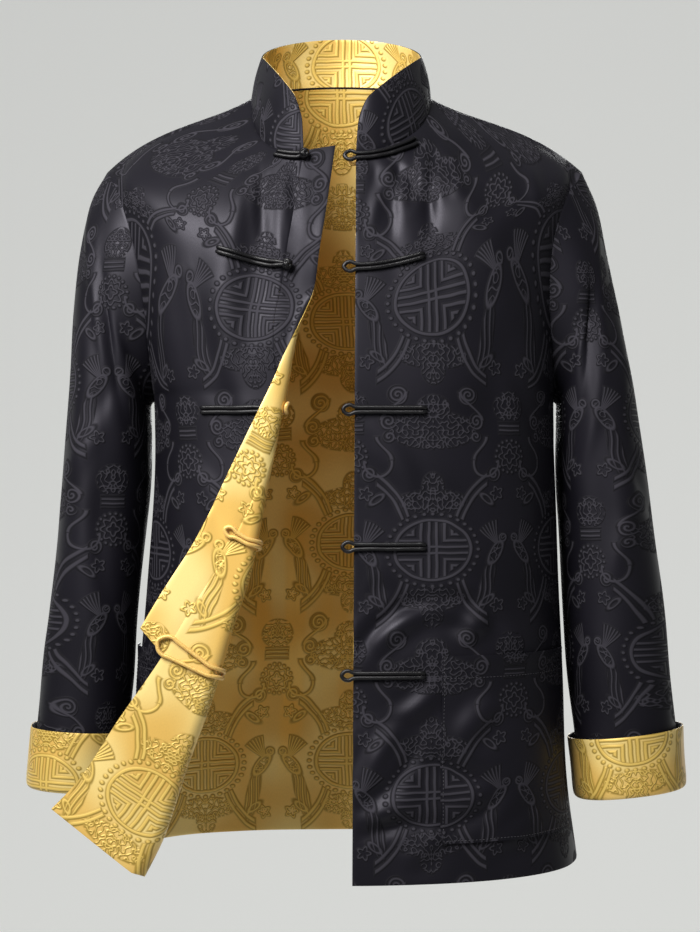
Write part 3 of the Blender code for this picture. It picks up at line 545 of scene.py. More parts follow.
# The rows lie closer by the hem and the neck, so that their edges are round
low_rows, yoke_rows = np.linspace(0, V_TIP, int(BODY_LONG / GRID_STEP) + 1), mix(V_TIP, 1, toward_seam(YOKE_LONG))
ROWS = np.concatenate([[0, 0.0012, 0.0032], low_rows[1:], yoke_rows[1:]])


def row_height(v, face="front"):
    """Height of a row at the centre."""
    hem, top, neck = CENTRE_HEIGHTS[face]
    return np.where(v < V_TIP, mix(hem, top, v / V_TIP), mix(top, neck, (v - V_TIP) / (1 - V_TIP)))


def grid_normals(grid, ring=False):
    across = np.roll(grid, -1, 1) - np.roll(grid, 1, 1) if ring else np.gradient(grid, axis=1)
    return unit(np.cross(across, np.gradient(grid, axis=0)))


def crease(grid, normals, folds):
    """Soft folds laid over the cloth, each from one end to the other as seen from the front: bow is how far its
    middle swings aside, and the cloth beside it gives way a little."""
    out = np.zeros(grid.shape[:2])
    for *ends, bow, width, depth in folds:
        along, beside = along_fold(grid, *ends)
        s = np.abs((beside - bow * 4 * along * (1 - along)) / width)
        taper = np.sin(along * math.pi) ** 0.8
        out += depth * taper * (np.exp(-(s**1.8)) - 0.28 * np.exp(-(((s - 1.9) / 0.9) ** 2)))
    return out[..., None] * normals


def waver(grid, seed, size, depth):
    """The cloth's slight unevenness: a few long, low waves in ways that differ."""
    draw = np.random.default_rng(seed)
    out = np.zeros(grid.shape[:2])
    for _ in range(9):
        way = draw.normal(size=3) * (1, 1, 0.55)
        out += np.sin(grid @ way * (2 * math.pi / size) + draw.uniform(0, 2 * math.pi))
    return out * depth / 3


def settle(grid):
    """Smooths the bend where the cloth goes over the shoulder, but for its edges."""
    near = ease(1 - np.abs(ROWS[1:-1] - V_TIP) / SETTLE_NEAR)[:, None]
    calm = fade(grid, ("last", "first"), 12)[1:-1] * near
    for _ in range(SETTLE_PASSES):
        grid = grid.copy()
        grid[1:-1] += ((grid[:-2] + grid[2:]) / 2 - grid[1:-1]) * 0.5 * calm[..., None]
    return grid


def fade(grid, edges, reach):
    """0 at the given sides of a grid of points and 1 farther in than reach."""
    across = np.array([along_cloth(row) for row in grid])
    up = np.array([along_cloth(column) for column in grid.transpose(1, 0, 2)]).T
    made = np.ones(grid.shape[:2])
    for edge, key in (("first", across), ("last", across[:, -1:] - across), ("low", up), ("high", up[-1:] - up)):
        if edge in edges:
            made *= ease(key / reach)
    return made


def edge_round(grid, seams, ring=False):
    """How much of its thickness the cloth keeps, less within a millimetre or two of its free edges."""
    edges = ("low", "high") if ring else ("low", "high", "first", "last")
    return 0.3 + 0.7 * np.sqrt(fade(grid, [edge for edge in edges if edge not in seams], 2.2))


def add_mesh(name, points, faces, cloth, uv):
    mesh = bpy.data.meshes.new(name)
    mesh.from_pydata((points * MM).tolist(), [], faces.tolist())
    layer = mesh.uv_layers.new(name="cloth")
    index = np.empty(len(mesh.loops), np.int32)
    mesh.loops.foreach_get("vertex_index", index)
    layer.data.foreach_set("uv", (uv[index] * MM).astype(np.float32).ravel())
    mesh.materials.append(cloth)
    mesh.shade_smooth()
    mesh.set_sharp_from_angle(angle=math.radians(SHARP_ANGLE))
    return put(name, mesh)


def add_layer(name, panel, origin, low, high, cloth, seams=(), ring=False):
    """A closed layer of a panel's cloth, from low to high along its normals; ring closes it round. Its figure
    has the middle of a roundel at origin, in distance along the cloth and height."""
    grid, normals = panel["grid"], panel["normals"]
    uv = np.stack([panel["u"] - origin[0], panel["z"] - origin[1]], -1)
    rows, columns = grid.shape[:2]
    middle, half = (low + high) / 2, (high - low) / 2 * edge_round(grid, seams, ring)
    outer = (grid + normals * (middle + half)[..., None]).reshape(-1, 3)
    inner = (grid + normals * (middle - half)[..., None]).reshape(-1, 3)
    count, last = rows * columns, columns if ring else columns - 1
    i, j = np.meshgrid(np.arange(rows - 1), np.arange(last), indexing="ij")
    j2 = (j + 1) % columns
    quads = np.stack([i * columns + j, i * columns + j2, (i + 1) * columns + j2, (i + 1) * columns + j], -1)
    quads = quads.reshape(-1, 4)
    faces = [quads, count + quads[:, ::-1]]
    j, j2 = j[0], j2[0]
    rims = [(row * columns + j, row * columns + j2, way) for row, way in ((0, -1), (rows - 1, 1))]
    if not ring:
        i = np.arange(rows - 1) * columns
        rims += [(i + column, i + columns + column, way) for column, way in ((0, 1), (columns - 1, -1))]
    for a, b, way in rims:
        faces.append(np.stack([a, b, count + b, count + a], -1)[:, ::way])
    points, uvs = np.concatenate([outer, inner]), np.concatenate([uv.reshape(-1, 2)] * 2)
    made = add_mesh(name, points, np.concatenate(faces), cloth, uvs)
    shape = bmesh.new()
    shape.from_mesh(made.data)
    bmesh.ops.recalc_face_normals(shape, faces=shape.faces)
    if shape.calc_volume(signed=True) < 0:
        bmesh.ops.reverse_faces(shape, faces=shape.faces)
    shape.to_mesh(made.data)
    shape.free()
    return made


def cloth_piece(made, hides, slot):
    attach(made, "root")
    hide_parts(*hides)


SEAM_TURN = 2.4
GOLD_SIDE = {"low": np.s_[1:], "high": np.s_[:-1], "first": np.s_[:, 1:], "last": np.s_[:, :-1]}


def both_faces(name, panel, origins, seams=(), ring=False, turned_in=1.1):
    """The black and the gold face of one cut piece; origins are the middle of a roundel on each of them. At
    the sewn edges the black face turns in over the gold one's edge."""
    sewn = 1 - fade(panel["grid"], seams, SEAM_TURN)
    inset = panel
    for edge in seams:
        inset = {key: value[GOLD_SIDE[edge]] for key, value in inset.items()}
    for word, sheet, origin, cloth, low, high in (
        ("black", panel, origins[0], black_brocade, 0.05 - turned_in * sewn, 1.05 - 0.5 * sewn),
        ("gold", inset, origins[1], gold_brocade, -0.05 - LAYER, -0.05),
    ):
        made = add_layer(f"{name}_{word}", sheet, origin, low, high, cloth, seams, ring)
        cloth_piece(made, [name], word + "_brocade")


def share_normals(normals, column, shared, low):
    """Turns the normals by a seam towards those of the piece beyond it, so that both lie flush."""
    step = -1 if column < 0 else 1
    for k, weight in enumerate((1, 0.6, 0.3, 0.1)):
        at = column + step * k
        normals[low, at] = unit(mix(normals[low, at], shared, weight))


def seam_normals(normals, grid, side, face, column):
    low = ROWS <= V_TIP
    share_normals(normals, column, body_normal(*outer_edge(ROWS[low], face), side, face), low)
    square = np.cross(np.gradient(grid[:, column], axis=0), [0, 1, 0])
    square = unit(square) * np.sign(square[:, 2:])
    share_normals(normals, column, square[~low], ~low)


LEFT_CREASES = (
    # x, z, x, z, bow, width, depth: negative is a hollow. Under the collar
    (38, -62, 19, -136, 2, 5, 2),
    (48, -58, 38, -142, 2, 4.5, -2.2),
    (69, -50, 58, -124, -2, 5.5, 1.8),
    (78, -38, 73, -142, 1, 4.5, -2.4),
    (88, -44, 100, -104, -3, 6, 1.8),
    (170, -62, 180, -118, 3, 7, 2),
    # On the chest and the waist
    (16, -306, 62, -380, -5, 9, 2.2),
    (6, -336, 47, -388, -4, 7, -1.8),
    (14, -424, 42, -470, -3, 7, 1.8),
    (150, -250, 184, -330, 6, 8, -1.8),
    # Over the pocket, where the cloth is pressed up
    (2, -522, 76, -468, -10, 7, -5),
    (66, -466, 146, -504, -12, 7.5, -4.6),
    (18, -514, 82, -476, -7, 9.5, 5),
    (98, -512, 124, -470, 3, 9, 4.4),
    # Low down, in short folds that cross
    (40, -578, 80, -546, 4, 8, 4.2),
    (96, -602, 134, -560, -4, 10, 4.6),
    (66, -606, 138, -636, 6, 10, -4.8),
    (6, -656, 48, -578, -5, 8, 4.4),
    (26, -648, 66, -592, 3, 6, -3.4),
    (8, -674, 64, -646, -3, 8.5, 4.4),
    (4, -682, 86, -672, -4, 6.5, -4),
    (80, -676, 148, -634, 8, 8, -3.8),
    (44, -706, 84, -678, 3, 8, 3.2),
    (120, -690, 176, -668, 4, 9, 2.6),
)


def face_out(grid, face, column):
    """Normals that point away from the body, as judged on a given column."""
    normals = grid_normals(grid)
    return normals * np.sign(AHEAD[face] * normals[20, column, 1])


def hang(grid, u, face, column, creases, crease_calm, wave, wave_calm, seams):
    """Finishes a cut piece: smooth over the shoulder, creased and uneven, its normals outward and flush with
    the pieces sewn to it. The calm pairs say which edges stay as they are cut, and how far in."""
    grid = settle(grid)
    normals = face_out(grid, face, column)
    calm = fade(grid, *crease_calm)
    grid = grid + crease(grid, normals, creases) * calm[..., None]
    if wave_calm:
        calm = fade(grid, *wave_calm)
    grid = grid + normals * (waver(grid, *wave) * calm)[..., None]
    normals = face_out(grid, face, column)
    for side, at in seams:
        seam_normals(normals, grid, side, face, at)
    z = np.repeat(row_height(ROWS, face)[:, None], grid.shape[1], 1)
    return {"grid": grid, "normals": normals, "u": u, "z": z}


def half_grid(side, face, shares):
    """The rows of a half, all at the same shares of their length: points, and distances from the centre."""
    rows = [half_row(v, side, face) for v in ROWS]
    keys = [along_cloth(row) for row in rows]
    u = np.array([shares * key[-1] for key in keys])
    return np.array([pick(*given) for given in zip(rows, keys, u)]), u


def build_left_front():
    shares = np.concatenate([np.array([0, 0.8, 2.4]) / 295, toward_seam(295)[1:]])
    grid, u = half_grid("left", "front", shares)
    grid[:, -1, 1] -= SEAM / 2
    calm = ("last", "high")
    return hang(
        grid, u, "front", 20, LEFT_CREASES, (calm, 30), (3, 170, 0.7), ((*calm, "first"), 40), (("left", -1),)
    )


left_front = build_left_front()
both_faces(
    "front_left", left_front, ((72, -202.5), (72, -202.5)),
    seams=("last", "high"),
)

# The right front and its underlap: the front is cut like the left one, and the underlap is a strip sewn
# along its centre-front edge to lie under the loops. Unbuttoned, both fall open, and below the chest they
# are turned back on one slanting fold that shows the gold face.
TURN = np.array([
    # height on the cloth, x, y, z, arrive, rise, bend
    (-726, -184, -186, -713, 88, 38, 10),
    (-690, -167, -184, -681, 84, 35, 9.8),
    (-620, -143, -180, -612, 72, 32, 9.4),
    (-548, -120, -176, -546, 55, 31, 9),
    (-496, -105, -173, -495, 42, 30, 8.6),
    (-449, -90, -170, -449, 30, 30, 8.4),
    (-362, -72.5, -163, -362, 10, 30, 8),
    (-292, -59, -156, -292, 0, 30, 7.4),
    (-211, -40.8, -144, -210, 0, 30, 5.5),
    (-187, -29, -137, -187, 0, 30, 5),
    (-142, -10.7, -129, -142, 0, 30, 4.5),
    (-105, 5.9, -116, -105, 0, 30, 4.5),
    (-56, 21, -93, -56, 0, 30, 4.5),
])
TURN_SLOPE, TURN_AT_SEAM, TURN_CLEAR = 0.266, -324, 6
UNDERLAP_WIDTH, UNDERLAP_END, UNDERLAP_TIP = 30, -546, -536
PAST_CENTRE = np.array([0.985, 0.03, 0.17])  # the way on from the neck's edge, over the underlap
FLAP_LONG, FLAP_LEAN = 230, 14  # how far the turned-back cloth is followed, and how far it leans back there
FLAT_PULL, TURNED_PULL = 1.9, 1.1  # how strongly the cloth keeps its direction at the seam and at the fold
RIGHT_FOLDS = (
    (-78, -80, -92, -260, 13, -6),
    (-112, -90, -118, -280, 16, 5),
    (-150, -170, -110, -360, 20, -5),
    (-160, -330, -120, -500, 20, 5),
)
RIGHT_CREASES = (
    (-82, -58, -80, -150, 1, 4, -2.2),
    (-66, -56, -66, -250, -2, 6, 1.6),
    (-52, -60, -50, -140, 1, 4, -1.6),
    (-100, -60, -112, -170, -3, 7, 1.4),
    (-176, -150, -150, -290, 6, 8, 1.8),
    (-130, -210, -96, -330, 6, 9, -1.6),
    (-150, -340, -110, -420, -5, 8, 1.6),
)


def right_row(v):
    """The right front: cloth distance from its centre-front seam (underlap below 0), and the points."""
    if v > V_TIP:
        from_seam, row = right_row(V_TIP)
        other, below = right_row(V_TIP - YOKE_STEP)
        share = np.clip(from_seam / from_seam[0], 0, 1)
        below = pick(below[::-1], other[::-1], np.where(from_seam > 0, share * other[0], from_seam))
        top = neckline(share, "right", "front")
        top = top + np.clip(-from_seam, 0, None)[:, None] * PAST_CENTRE
        return from_seam, yoke(row, below, top, v, share)
    cloth = mix(HEM_FRONT, UPPER_CHEST, v / V_TIP)
    _, x, y, z, arrive, rise, bend = smooth_rows(TURN, np.array(cloth))
    arrive, rise = math.radians(max(arrive, 0)), math.radians(rise)
    angle, edge_height = outer_edge(np.array(v), "front")
    start = body_point(angle, edge_height, "right", "front")
    ahead = unit(body_point(angle + 0.02, edge_height, "right", "front") - start)
    centre = np.array([x - bend, y + bend, z])
    end = centre + bend * np.array([math.sin(arrive), math.cos(arrive), 0])
    swung = arrive / (math.pi / 2)
    wide, deep = np.abs(end - start)[:2]
    across = wide * mix(FLAT_PULL, 0, swung) + deep * TURNED_PULL * swung
    forward = deep * mix(FLAT_PULL, TURNED_PULL, swung)
    leave = np.array([math.cos(arrive), -math.sin(arrive), 0]) * across
    t = np.linspace(0, 1, DENSE)[:, None]
    base = curve(start, ahead * forward, end, leave, t)
    base = crumple(base, ((1 - (1 - t) ** 4) * (1 - t**6))[:, 0], RIGHT_FOLDS, -1)
    turn = np.linspace(arrive, math.pi, 60)[1:]
    climb = np.sin(rise) * bend * (turn - arrive) * 0.5
    bent = centre + np.stack([bend * np.sin(turn), bend * np.cos(turn), climb], -1)
    far = np.linspace(0, FLAP_LONG, 120)[1:, None]
    flap = bent[-1] + far * np.array([-math.cos(rise), 0.03, math.sin(rise)])
    flap[:, 1] += (far[:, 0] / FLAP_LONG) ** 2 * FLAP_LEAN
    points = np.concatenate([base, bent, flap])
    along = along_cloth(points)
    crest = along[DENSE - 1] + bend * max(math.pi / 2 - arrive, 0)
    return TURN_SLOPE * (TURN_AT_SEAM - cloth) + crest - along, points


def build_right_front():
    strip = np.concatenate([-UNDERLAP_WIDTH + np.array([0, 0.8, 2.4]), np.linspace(-25, -SEAM / 2, 6)])
    grid, u = [], []
    for v in ROWS:
        from_seam, points = right_row(v)
        cloth = row_height(min(v, V_TIP))
        bend = smooth_rows(TURN, np.array(cloth))[6]
        turn = TURN_SLOPE * (TURN_AT_SEAM - cloth) + np.linspace(-1.6, 1.6, 20) * bend
        turn = turn + max(0, TURN_CLEAR - turn[0])
        inner = mix(SEAM / 2, turn[0], np.linspace(0, 1, 16)[:-1])
        outer = mix(turn[-1], from_seam[0], toward_seam(235)[1:])
        columns = np.concatenate([strip, inner, turn, outer])
        grid.append(pick(points[::-1], from_seam[::-1], columns))
        u.append(columns)
    grid, u = np.array(grid), np.array(u)
    grid[:, -1, 1] -= SEAM / 2
    calm = ("last", "high")
    return hang(grid, u, "front", -20, RIGHT_CREASES, (calm, 40), (5, 150, 0.7), None, (("right", -1),))


def sample(panel, u, z):
    """Place and normal of the panel's cloth at distances u along it and heights z."""
    shape = np.broadcast(u, z).shape
    u, z = (np.broadcast_to(a, shape).ravel() for a in (u, z))
    heights = panel["z"][:, 0]
    row = np.clip(np.searchsorted(heights, z) - 1, 0, len(heights) - 2)
    share = np.clip((z - heights[row]) / (heights[row + 1] - heights[row]), 0, 1)
    found = np.empty((len(u), 6))
    for k, (at, r, t) in enumerate(zip(u, row, share)):
        low, high = (
            pick(np.hstack([panel["grid"][i], panel["normals"][i]]), panel["u"][i], at) for i in (r, r + 1)
        )
        found[k] = mix(low, high, t)
    return found[:, :3].reshape(*shape, 3), unit(found[:, 3:]).reshape(*shape, 3)


STRIP = 9  # columns of the underlap
right_whole = build_right_front()
right_front = {key: value[:, STRIP:] for key, value in right_whole.items()}
both_faces(
    "front_right", right_front, ((21, -207), (60, -668)),
    seams=("last", "high"),
)

lap_u = right_whole["u"][0, :STRIP]
lap_low = mix(UNDERLAP_TIP, UNDERLAP_END, (lap_u + UNDERLAP_WIDTH) / UNDERLAP_WIDTH)
lap_rows = np.concatenate([[0, 0.0016, 0.005], np.linspace(0, 1, 100)[1:]])[:, None]
lap_u, lap_z = np.broadcast_arrays(lap_u, mix(lap_low, NECK_FRONT, lap_rows))
lap_grid, lap_normals = sample(right_whole, lap_u, lap_z)
underlap = {"grid": lap_grid, "normals": lap_normals, "u": lap_u, "z": lap_z}
both_faces(
    "underlap", underlap, ((21, -207), (60, -668)),
    seams=("high",),
)

# The back: one piece across, from side seam to side seam and up to the shoulders and the neck. It hangs
# from the shoulder blades in long soft folds.
BACK_CREASES = (
    (-120, -300, -104, -640, 10, 12, 3),
    (-66, -380, -80, -700, -8, 10, -2.4),
    (92, -330, 84, -690, -8, 12, 3),
    (8, -420, 2, -640, 6, 9, 2),
    (-170, -180, -90, -130, 8, 9, -2.2),
    (160, -190, 84, -128, -8, 9, -2.2),
    (-176, -300, -140, -420, 6, 8, -2),
    (170, -290, 136, -400, -6, 8, -2),
)


def build_back():
    shares = toward_seam(300)
    (right, right_u), (left, left_u) = (half_grid(side, "back", shares) for side in ("right", "left"))
    grid = np.concatenate([right[:, :0:-1], left], axis=1)
    u = np.concatenate([-right_u[:, :0:-1], left_u], axis=1)
    grid[:, [0, -1], 1] += SEAM / 2
    calm, seams = ("first", "last", "high"), (("left", -1), ("right", 0))
    return hang(grid, u, "back", 20, BACK_CREASES, (calm, 35), (8, 190, 0.9), None, seams)


back = build_back()
both_faces("back", back, ((0, -202.5), (0, -202.5)), seams=("first", "last", "high"))

# The sleeves: each one piece, sewn into a tube under the arm, its head lapped over the armhole. They hang
# with the arm's slight bend and crease inside the elbow.
LAP, RISE = 3.8, -0.3  # how far the head reaches past the armhole, and how far above the body's cloth it lies
TOP_LAP, TOP_RISE = 1.5, 0.4  # the same at the shoulder's tip, where the head lies along the slope
TOP_FROM, TOP_OVER = 0.7, 0.25  # where the tip begins, as a cosine of the turn, and over how much it eases in
SLOPE = (0.78, 0.62)  # the shoulder's run and rise
SLEEVE = {
    "right": np.array([
        # outer x, outer z, inner x, inner z, half depth, forward
        (-247, -100, -192, -289, 65, 0),
        (-255, -148, -192.5, -297, 69, 0),
        (-260.5, -204, -192, -312, 71, 1),
        (-265, -260, -191.5, -338, 71, 2),
        (-270, -315, -192, -368, 70, 4),
        (-274.5, -370, -195, -403, 68, 6),
        (-279, -425, -199, -446, 65, 9),
        (-285, -485, -203.5, -496, 61, 12),
        (-291, -545, -207.5, -551, 57, 15),
        (-297, -595, -213.5, -598, 54, 17),
        (-300.5, -641, -217, -645, 52, 18),
    ]),
    "left": np.array([
        # outer x, outer z, inner x, inner z, half depth, forward
        (234, -103, 199.5, -289, 65, 0),
        (242, -150, 200, -297, 69, 0),
        (253, -204, 200, -312, 71, 1),
        (267, -260, 199.5, -338, 71, 2),
        (275.5, -315, 199.5, -368, 70, 4),
        (283.5, -370, 201, -403, 68, 6),
        (291, -425, 203, -446, 65, 9),
        (298, -485, 206, -496, 61, 12),
        (303, -545, 209, -551, 57, 15),
        (308.5, -595, 215, -604, 54, 17),
        (312.5, -641, 219, -652, 52, 18),
    ]),
}
SLEEVE_ROUNDNESS, SLEEVE_SEED = 2.3, {"left": 11, "right": 12}
SLEEVE_FOLDS = (
    # turn (0 outside, 90 in front), rings from the head, change of turn with each ring, width, depth, reach
    (60, 2, 16, 26, -6, 2),
    (15, 2.5, 14, 24, 4, 2),
    (120, 5, -12, 26, -5, 2),
    (75, 6.5, 12, 24, 4, 2),
    (250, 4, 14, 28, -5, 2),
    (300, 6, -12, 26, 4, 2),
)
SLEEVE_CREASES = {
    "right": (
        (96, 2.4, 21, 17, -5, 1.7),
        (66, 2, 20, 12, 2.4, 1.2),
        (40, 1.6, 30, 11, 2.6, 0.9),
        (95, 3.4, -26, 12, -2.4, 1.1),
        (62, 5.2, -30, 11, 2.2, 0.8),
        (110, 7.4, 18, 12, -2.2, 1),
        (35, 8.2, -20, 12, 1.8, 0.9),
        (265, 4.6, 24, 12, -2.6, 1.1),
        (235, 7, -22, 12, 2.2, 1),
        (310, 2.6, 26, 12, -2.2, 0.9),
    ),
    "left": (
        (92, 2.2, 22, 17, -5, 1.6),
        (58, 2.4, 16, 12, 2.4, 1.3),
        (70, 2, -28, 12, -2.6, 1),
        (105, 4.2, 24, 12, 2.2, 0.9),
        (50, 5.6, -22, 12, -2.4, 1.1),
        (90, 7, 26, 12, 2, 0.8),
        (30, 3.2, 20, 12, 1.8, 0.9),
        (255, 5, -24, 12, -2.6, 1.1),
        (290, 7.6, 22, 12, 2.2, 1),
        (240, 2.8, 20, 12, -2.2, 0.9),
    ),
}
SLEEVE_COLUMNS, SLEEVE_ROWS, SLEEVE_LEVEL = 84, 116, 40  # the cloth is measured round from the last


def sleeve_folds(turn, ring, folds):
    """How far a ring stands out at each turn, from folds that run slanting down and round the sleeve."""
    out = np.zeros(len(turn))
    for at, middle, slant, width, depth, reach in folds:
        off = np.degrees(np.abs(np.angle(np.exp(1j * (turn - math.radians(at + slant * (ring - middle)))))))
        out += depth * np.exp(-((off / width) ** 2)) * math.exp(-(((ring - middle) / reach) ** 2))
    return out * (1 - np.clip(-np.cos(turn), 0, 1))


def build_sleeve(side):
    turn = np.linspace(math.pi, 3 * math.pi, SLEEVE_COLUMNS, endpoint=False)
    edge, normal = [], []
    for a in turn:
        face = "front" if math.sin(a) >= 0 else "back"
        height = mix(ARMPIT, SHOULDER_TIP, (1 + math.cos(a)) / 2)
        angle = edge_angle(a, height, face)
        edge.append(body_point(angle, height, side, face))
        normal.append(body_normal(angle, height, side, face))
    edge, normal = np.array(edge), np.array(normal)
    inward = unit(np.cross(np.roll(edge, -1, 0) - np.roll(edge, 1, 0), normal))
    inward *= np.sign((inward * (edge.mean(0) - edge)).sum(1, keepdims=True))
    on_top = ease((np.cos(turn) - TOP_FROM) / TOP_OVER)[:, None]
    neckward = np.array([-SLOPE[0] * OUT[side], 0, SLOPE[1]])
    lap = unit(mix(-inward, neckward, on_top)) * mix(LAP, TOP_LAP, on_top)
    rings = [edge + lap + normal * mix(RISE, TOP_RISE, on_top)]
    c, s = np.cos(turn), np.sin(turn)
    reach = boxed(c, s, SLEEVE_ROUNDNESS)
    for outer_x, outer_z, inner_x, inner_z, half_depth, forward in SLEEVE[side]:
        middle = np.array([(outer_x + inner_x) / 2, -forward, (outer_z + inner_z) / 2])
        half = np.array([(outer_x - inner_x) / 2, 0, (outer_z - inner_z) / 2])
        out = 1 + sleeve_folds(turn, len(rings), SLEEVE_FOLDS) / half_depth
        depth = np.array([0, -half_depth, 0])
        rings.append(middle + (out * reach * c)[:, None] * half + (out * reach * s)[:, None] * depth)
    rings = np.array(rings)
    key = np.arange(len(rings), dtype=float)
    at = np.concatenate([[0, 0.024, 0.056], np.linspace(0, key[-1], SLEEVE_ROWS)[1:]])
    table = np.concatenate([key[:, None], rings.reshape(len(rings), -1)], 1)
    grid = smooth_rows(table, at)[:, 1:].reshape(len(at), SLEEVE_COLUMNS, 3)
    normals = tube_normals(grid)
    small = np.array([sleeve_folds(turn, ring, SLEEVE_CREASES[side]) for ring in at])
    calm = ease(at / 1.2) * ease((key[-1] - at) / 1)
    small = small + waver(grid, SLEEVE_SEED[side], 120, 0.8)
    grid = grid + normals * (small * calm[:, None])[..., None]
    normals = tube_normals(grid)
    across = unit(np.cross([0, 0, 1], normals))
    steps = np.diff(grid[SLEEVE_LEVEL], axis=0)
    across *= np.sign((across[SLEEVE_LEVEL, :-1] * steps).sum())
    around = along_cloth(grid[SLEEVE_LEVEL, :, :2])
    drift = np.cumsum((np.diff(grid, axis=0) * (across[1:] + across[:-1]) / 2).sum(-1), axis=0)
    drift = np.concatenate([np.zeros((1, SLEEVE_COLUMNS)), drift])
    u = around - around[SLEEVE_COLUMNS // 2] + drift - drift[SLEEVE_LEVEL]
    return {"grid": grid[::-1], "normals": normals[::-1], "u": u[::-1], "z": grid[::-1, :, 2]}


def tube_normals(grid):
    """Normals of a tube, pointing away from its own middle."""
    normals = grid_normals(grid, ring=True)
    return normals * np.sign((normals[-1] * (grid[-1] - grid[-1].mean(0))).sum())


sleeves = {}
for side, middle in (("left", (20, -300)), ("right", (20, -270))):
    sleeves[side] = build_sleeve(side)
    both_faces(
        f"sleeve_{side}", sleeves[side], (middle, middle),
        seams=("high",), ring=True,
        turned_in=2.5,
    )

# The cuffs: each sleeve's end, turned up outside by five centimetres, so that the gold face shows. The turn
# is soft and round, and the band flares a little above it.
CUFF = np.array([
    # place along the turn, outward from the sleeve, down past its end (up beside it below 0)
    (0, 0, SEAM),
    (1, 0, 5),
    (2, 1.8, 9),
    (3, 4.4, 8.6),
    (4, 5.6, 4.5),
    (5, 6, -8),
    (6, 6.4, -28),
    (7, 6.8, -47),
])
CUFF_ROWS = np.concatenate([np.linspace(0, 4.6, 16), np.linspace(4.8, 6.9, 10), [6.96, 7]])
CUFF_FLAT, CUFF_SEED, CUFF_FLARE_FROM = (0.36, 0.066), {"left": 21, "right": 22}, 4.4


def turned_out(grid, outward):
    """Normals of the turn, which leaves the sleeve on the side of its outward face."""
    normals = grid_normals(grid, ring=True)
    return normals * np.sign((normals[0] * outward).sum())


def build_cuff(side):
    sleeve, normals = sleeves[side]["grid"][::-1], sleeves[side]["normals"][::-1]
    down = unit(sleeve[-1].mean(0) - sleeve[-6].mean(0))
    slope = unit(sleeve[-1] - sleeve[-6])
    way = unit(normals[-1] - down * (normals[-1] @ down)[:, None])
    rings = []
    for _, out, below in smooth_rows(CUFF, CUFF_ROWS):
        rings.append(sleeve[-1] + (slope if below < 0 else down) * below + way * out)
    grid = np.array(rings)
    turned = turned_out(grid, normals[-1])
    up = ease((CUFF_ROWS - CUFF_FLARE_FROM) / 2)[:, None]
    grid = grid + turned * ((waver(grid, CUFF_SEED[side], 95, 0.8) + 0.5) * up)[..., None]
    turned = turned_out(grid, normals[-1])
    u = along_cloth(grid[-1])
    v = np.array([along_cloth(column) for column in grid.transpose(1, 0, 2)]).T
    return {"grid": grid, "normals": turned, "u": np.repeat(u[None], len(rings), 0), "z": v}


for side, middle in (("left", (273, 70)), ("right", (233, 18))):
    cuff = build_cuff(side)
    for word, low, cloth in (("gold", -1.05, gold_brocade), ("black", 0.05, black_brocade)):
        made = add_layer(f"cuff_{side}_{word}", cuff, middle, low, low + LAYER, cloth, ring=True)
        cloth_piece(made, [f"cuff_{side}"], word + "_brocade")

# The stand collar: a band cut on a slight curve and stiffened, gold inside, sewn round the neck's edge. Its
# two front corners are rounded off.
COLLAR_HEIGHT_BACK, COLLAR_ROUND = 47, 19
COLLAR_TOP = {"right": (-84, -45), "left": (68, 9)}  # x at the side and at the front end
COLLAR_TOP_SIDE, COLLAR_TOP_FRONT, COLLAR_TOP_DEPTH = 44, -11, 74
COLLAR_SUNK, COLLAR_BULGE = 0.7, 1.4  # how far its foot sinks into the seam, and how far its middle swells
NEAR_NECK = 0.97  # the row that tells which way the cloth arrives at the neck


def collar_quarter(side, face, t):
    """A quarter of the neck: its edge, the way the cloth arrives there, and the collar's top."""
    edge = neckline(t, side, face)
    if (side, face) == ("right", "front"):
        from_seam, below = right_row(NEAR_NECK)
        below = pick(below[::-1], from_seam[::-1], t * from_seam[0])
    else:
        below = pick(half_row(NEAR_NECK, side, face), np.linspace(0, 1, DENSE), t)
    sine, cosine = np.sin(t * math.pi / 2), np.cos(t * math.pi / 2)
    side_x, end_x = COLLAR_TOP[side]
    if face == "front":
        height = mix(COLLAR_TOP_FRONT, COLLAR_TOP_SIDE, t)
        high = np.stack([mix(end_x, side_x, t), -COLLAR_TOP_DEPTH * cosine**0.9, height], -1)
    else:
        middle = sum(x for x, _ in COLLAR_TOP.values()) / 2
        height = mix(COLLAR_TOP_SIDE, NECK_BACK + COLLAR_HEIGHT_BACK, cosine)
        high = np.stack([mix(middle, side_x, sine), (NECK_DEPTH["back"] - 1) * cosine, height], -1)
    return edge, unit(edge - below), high


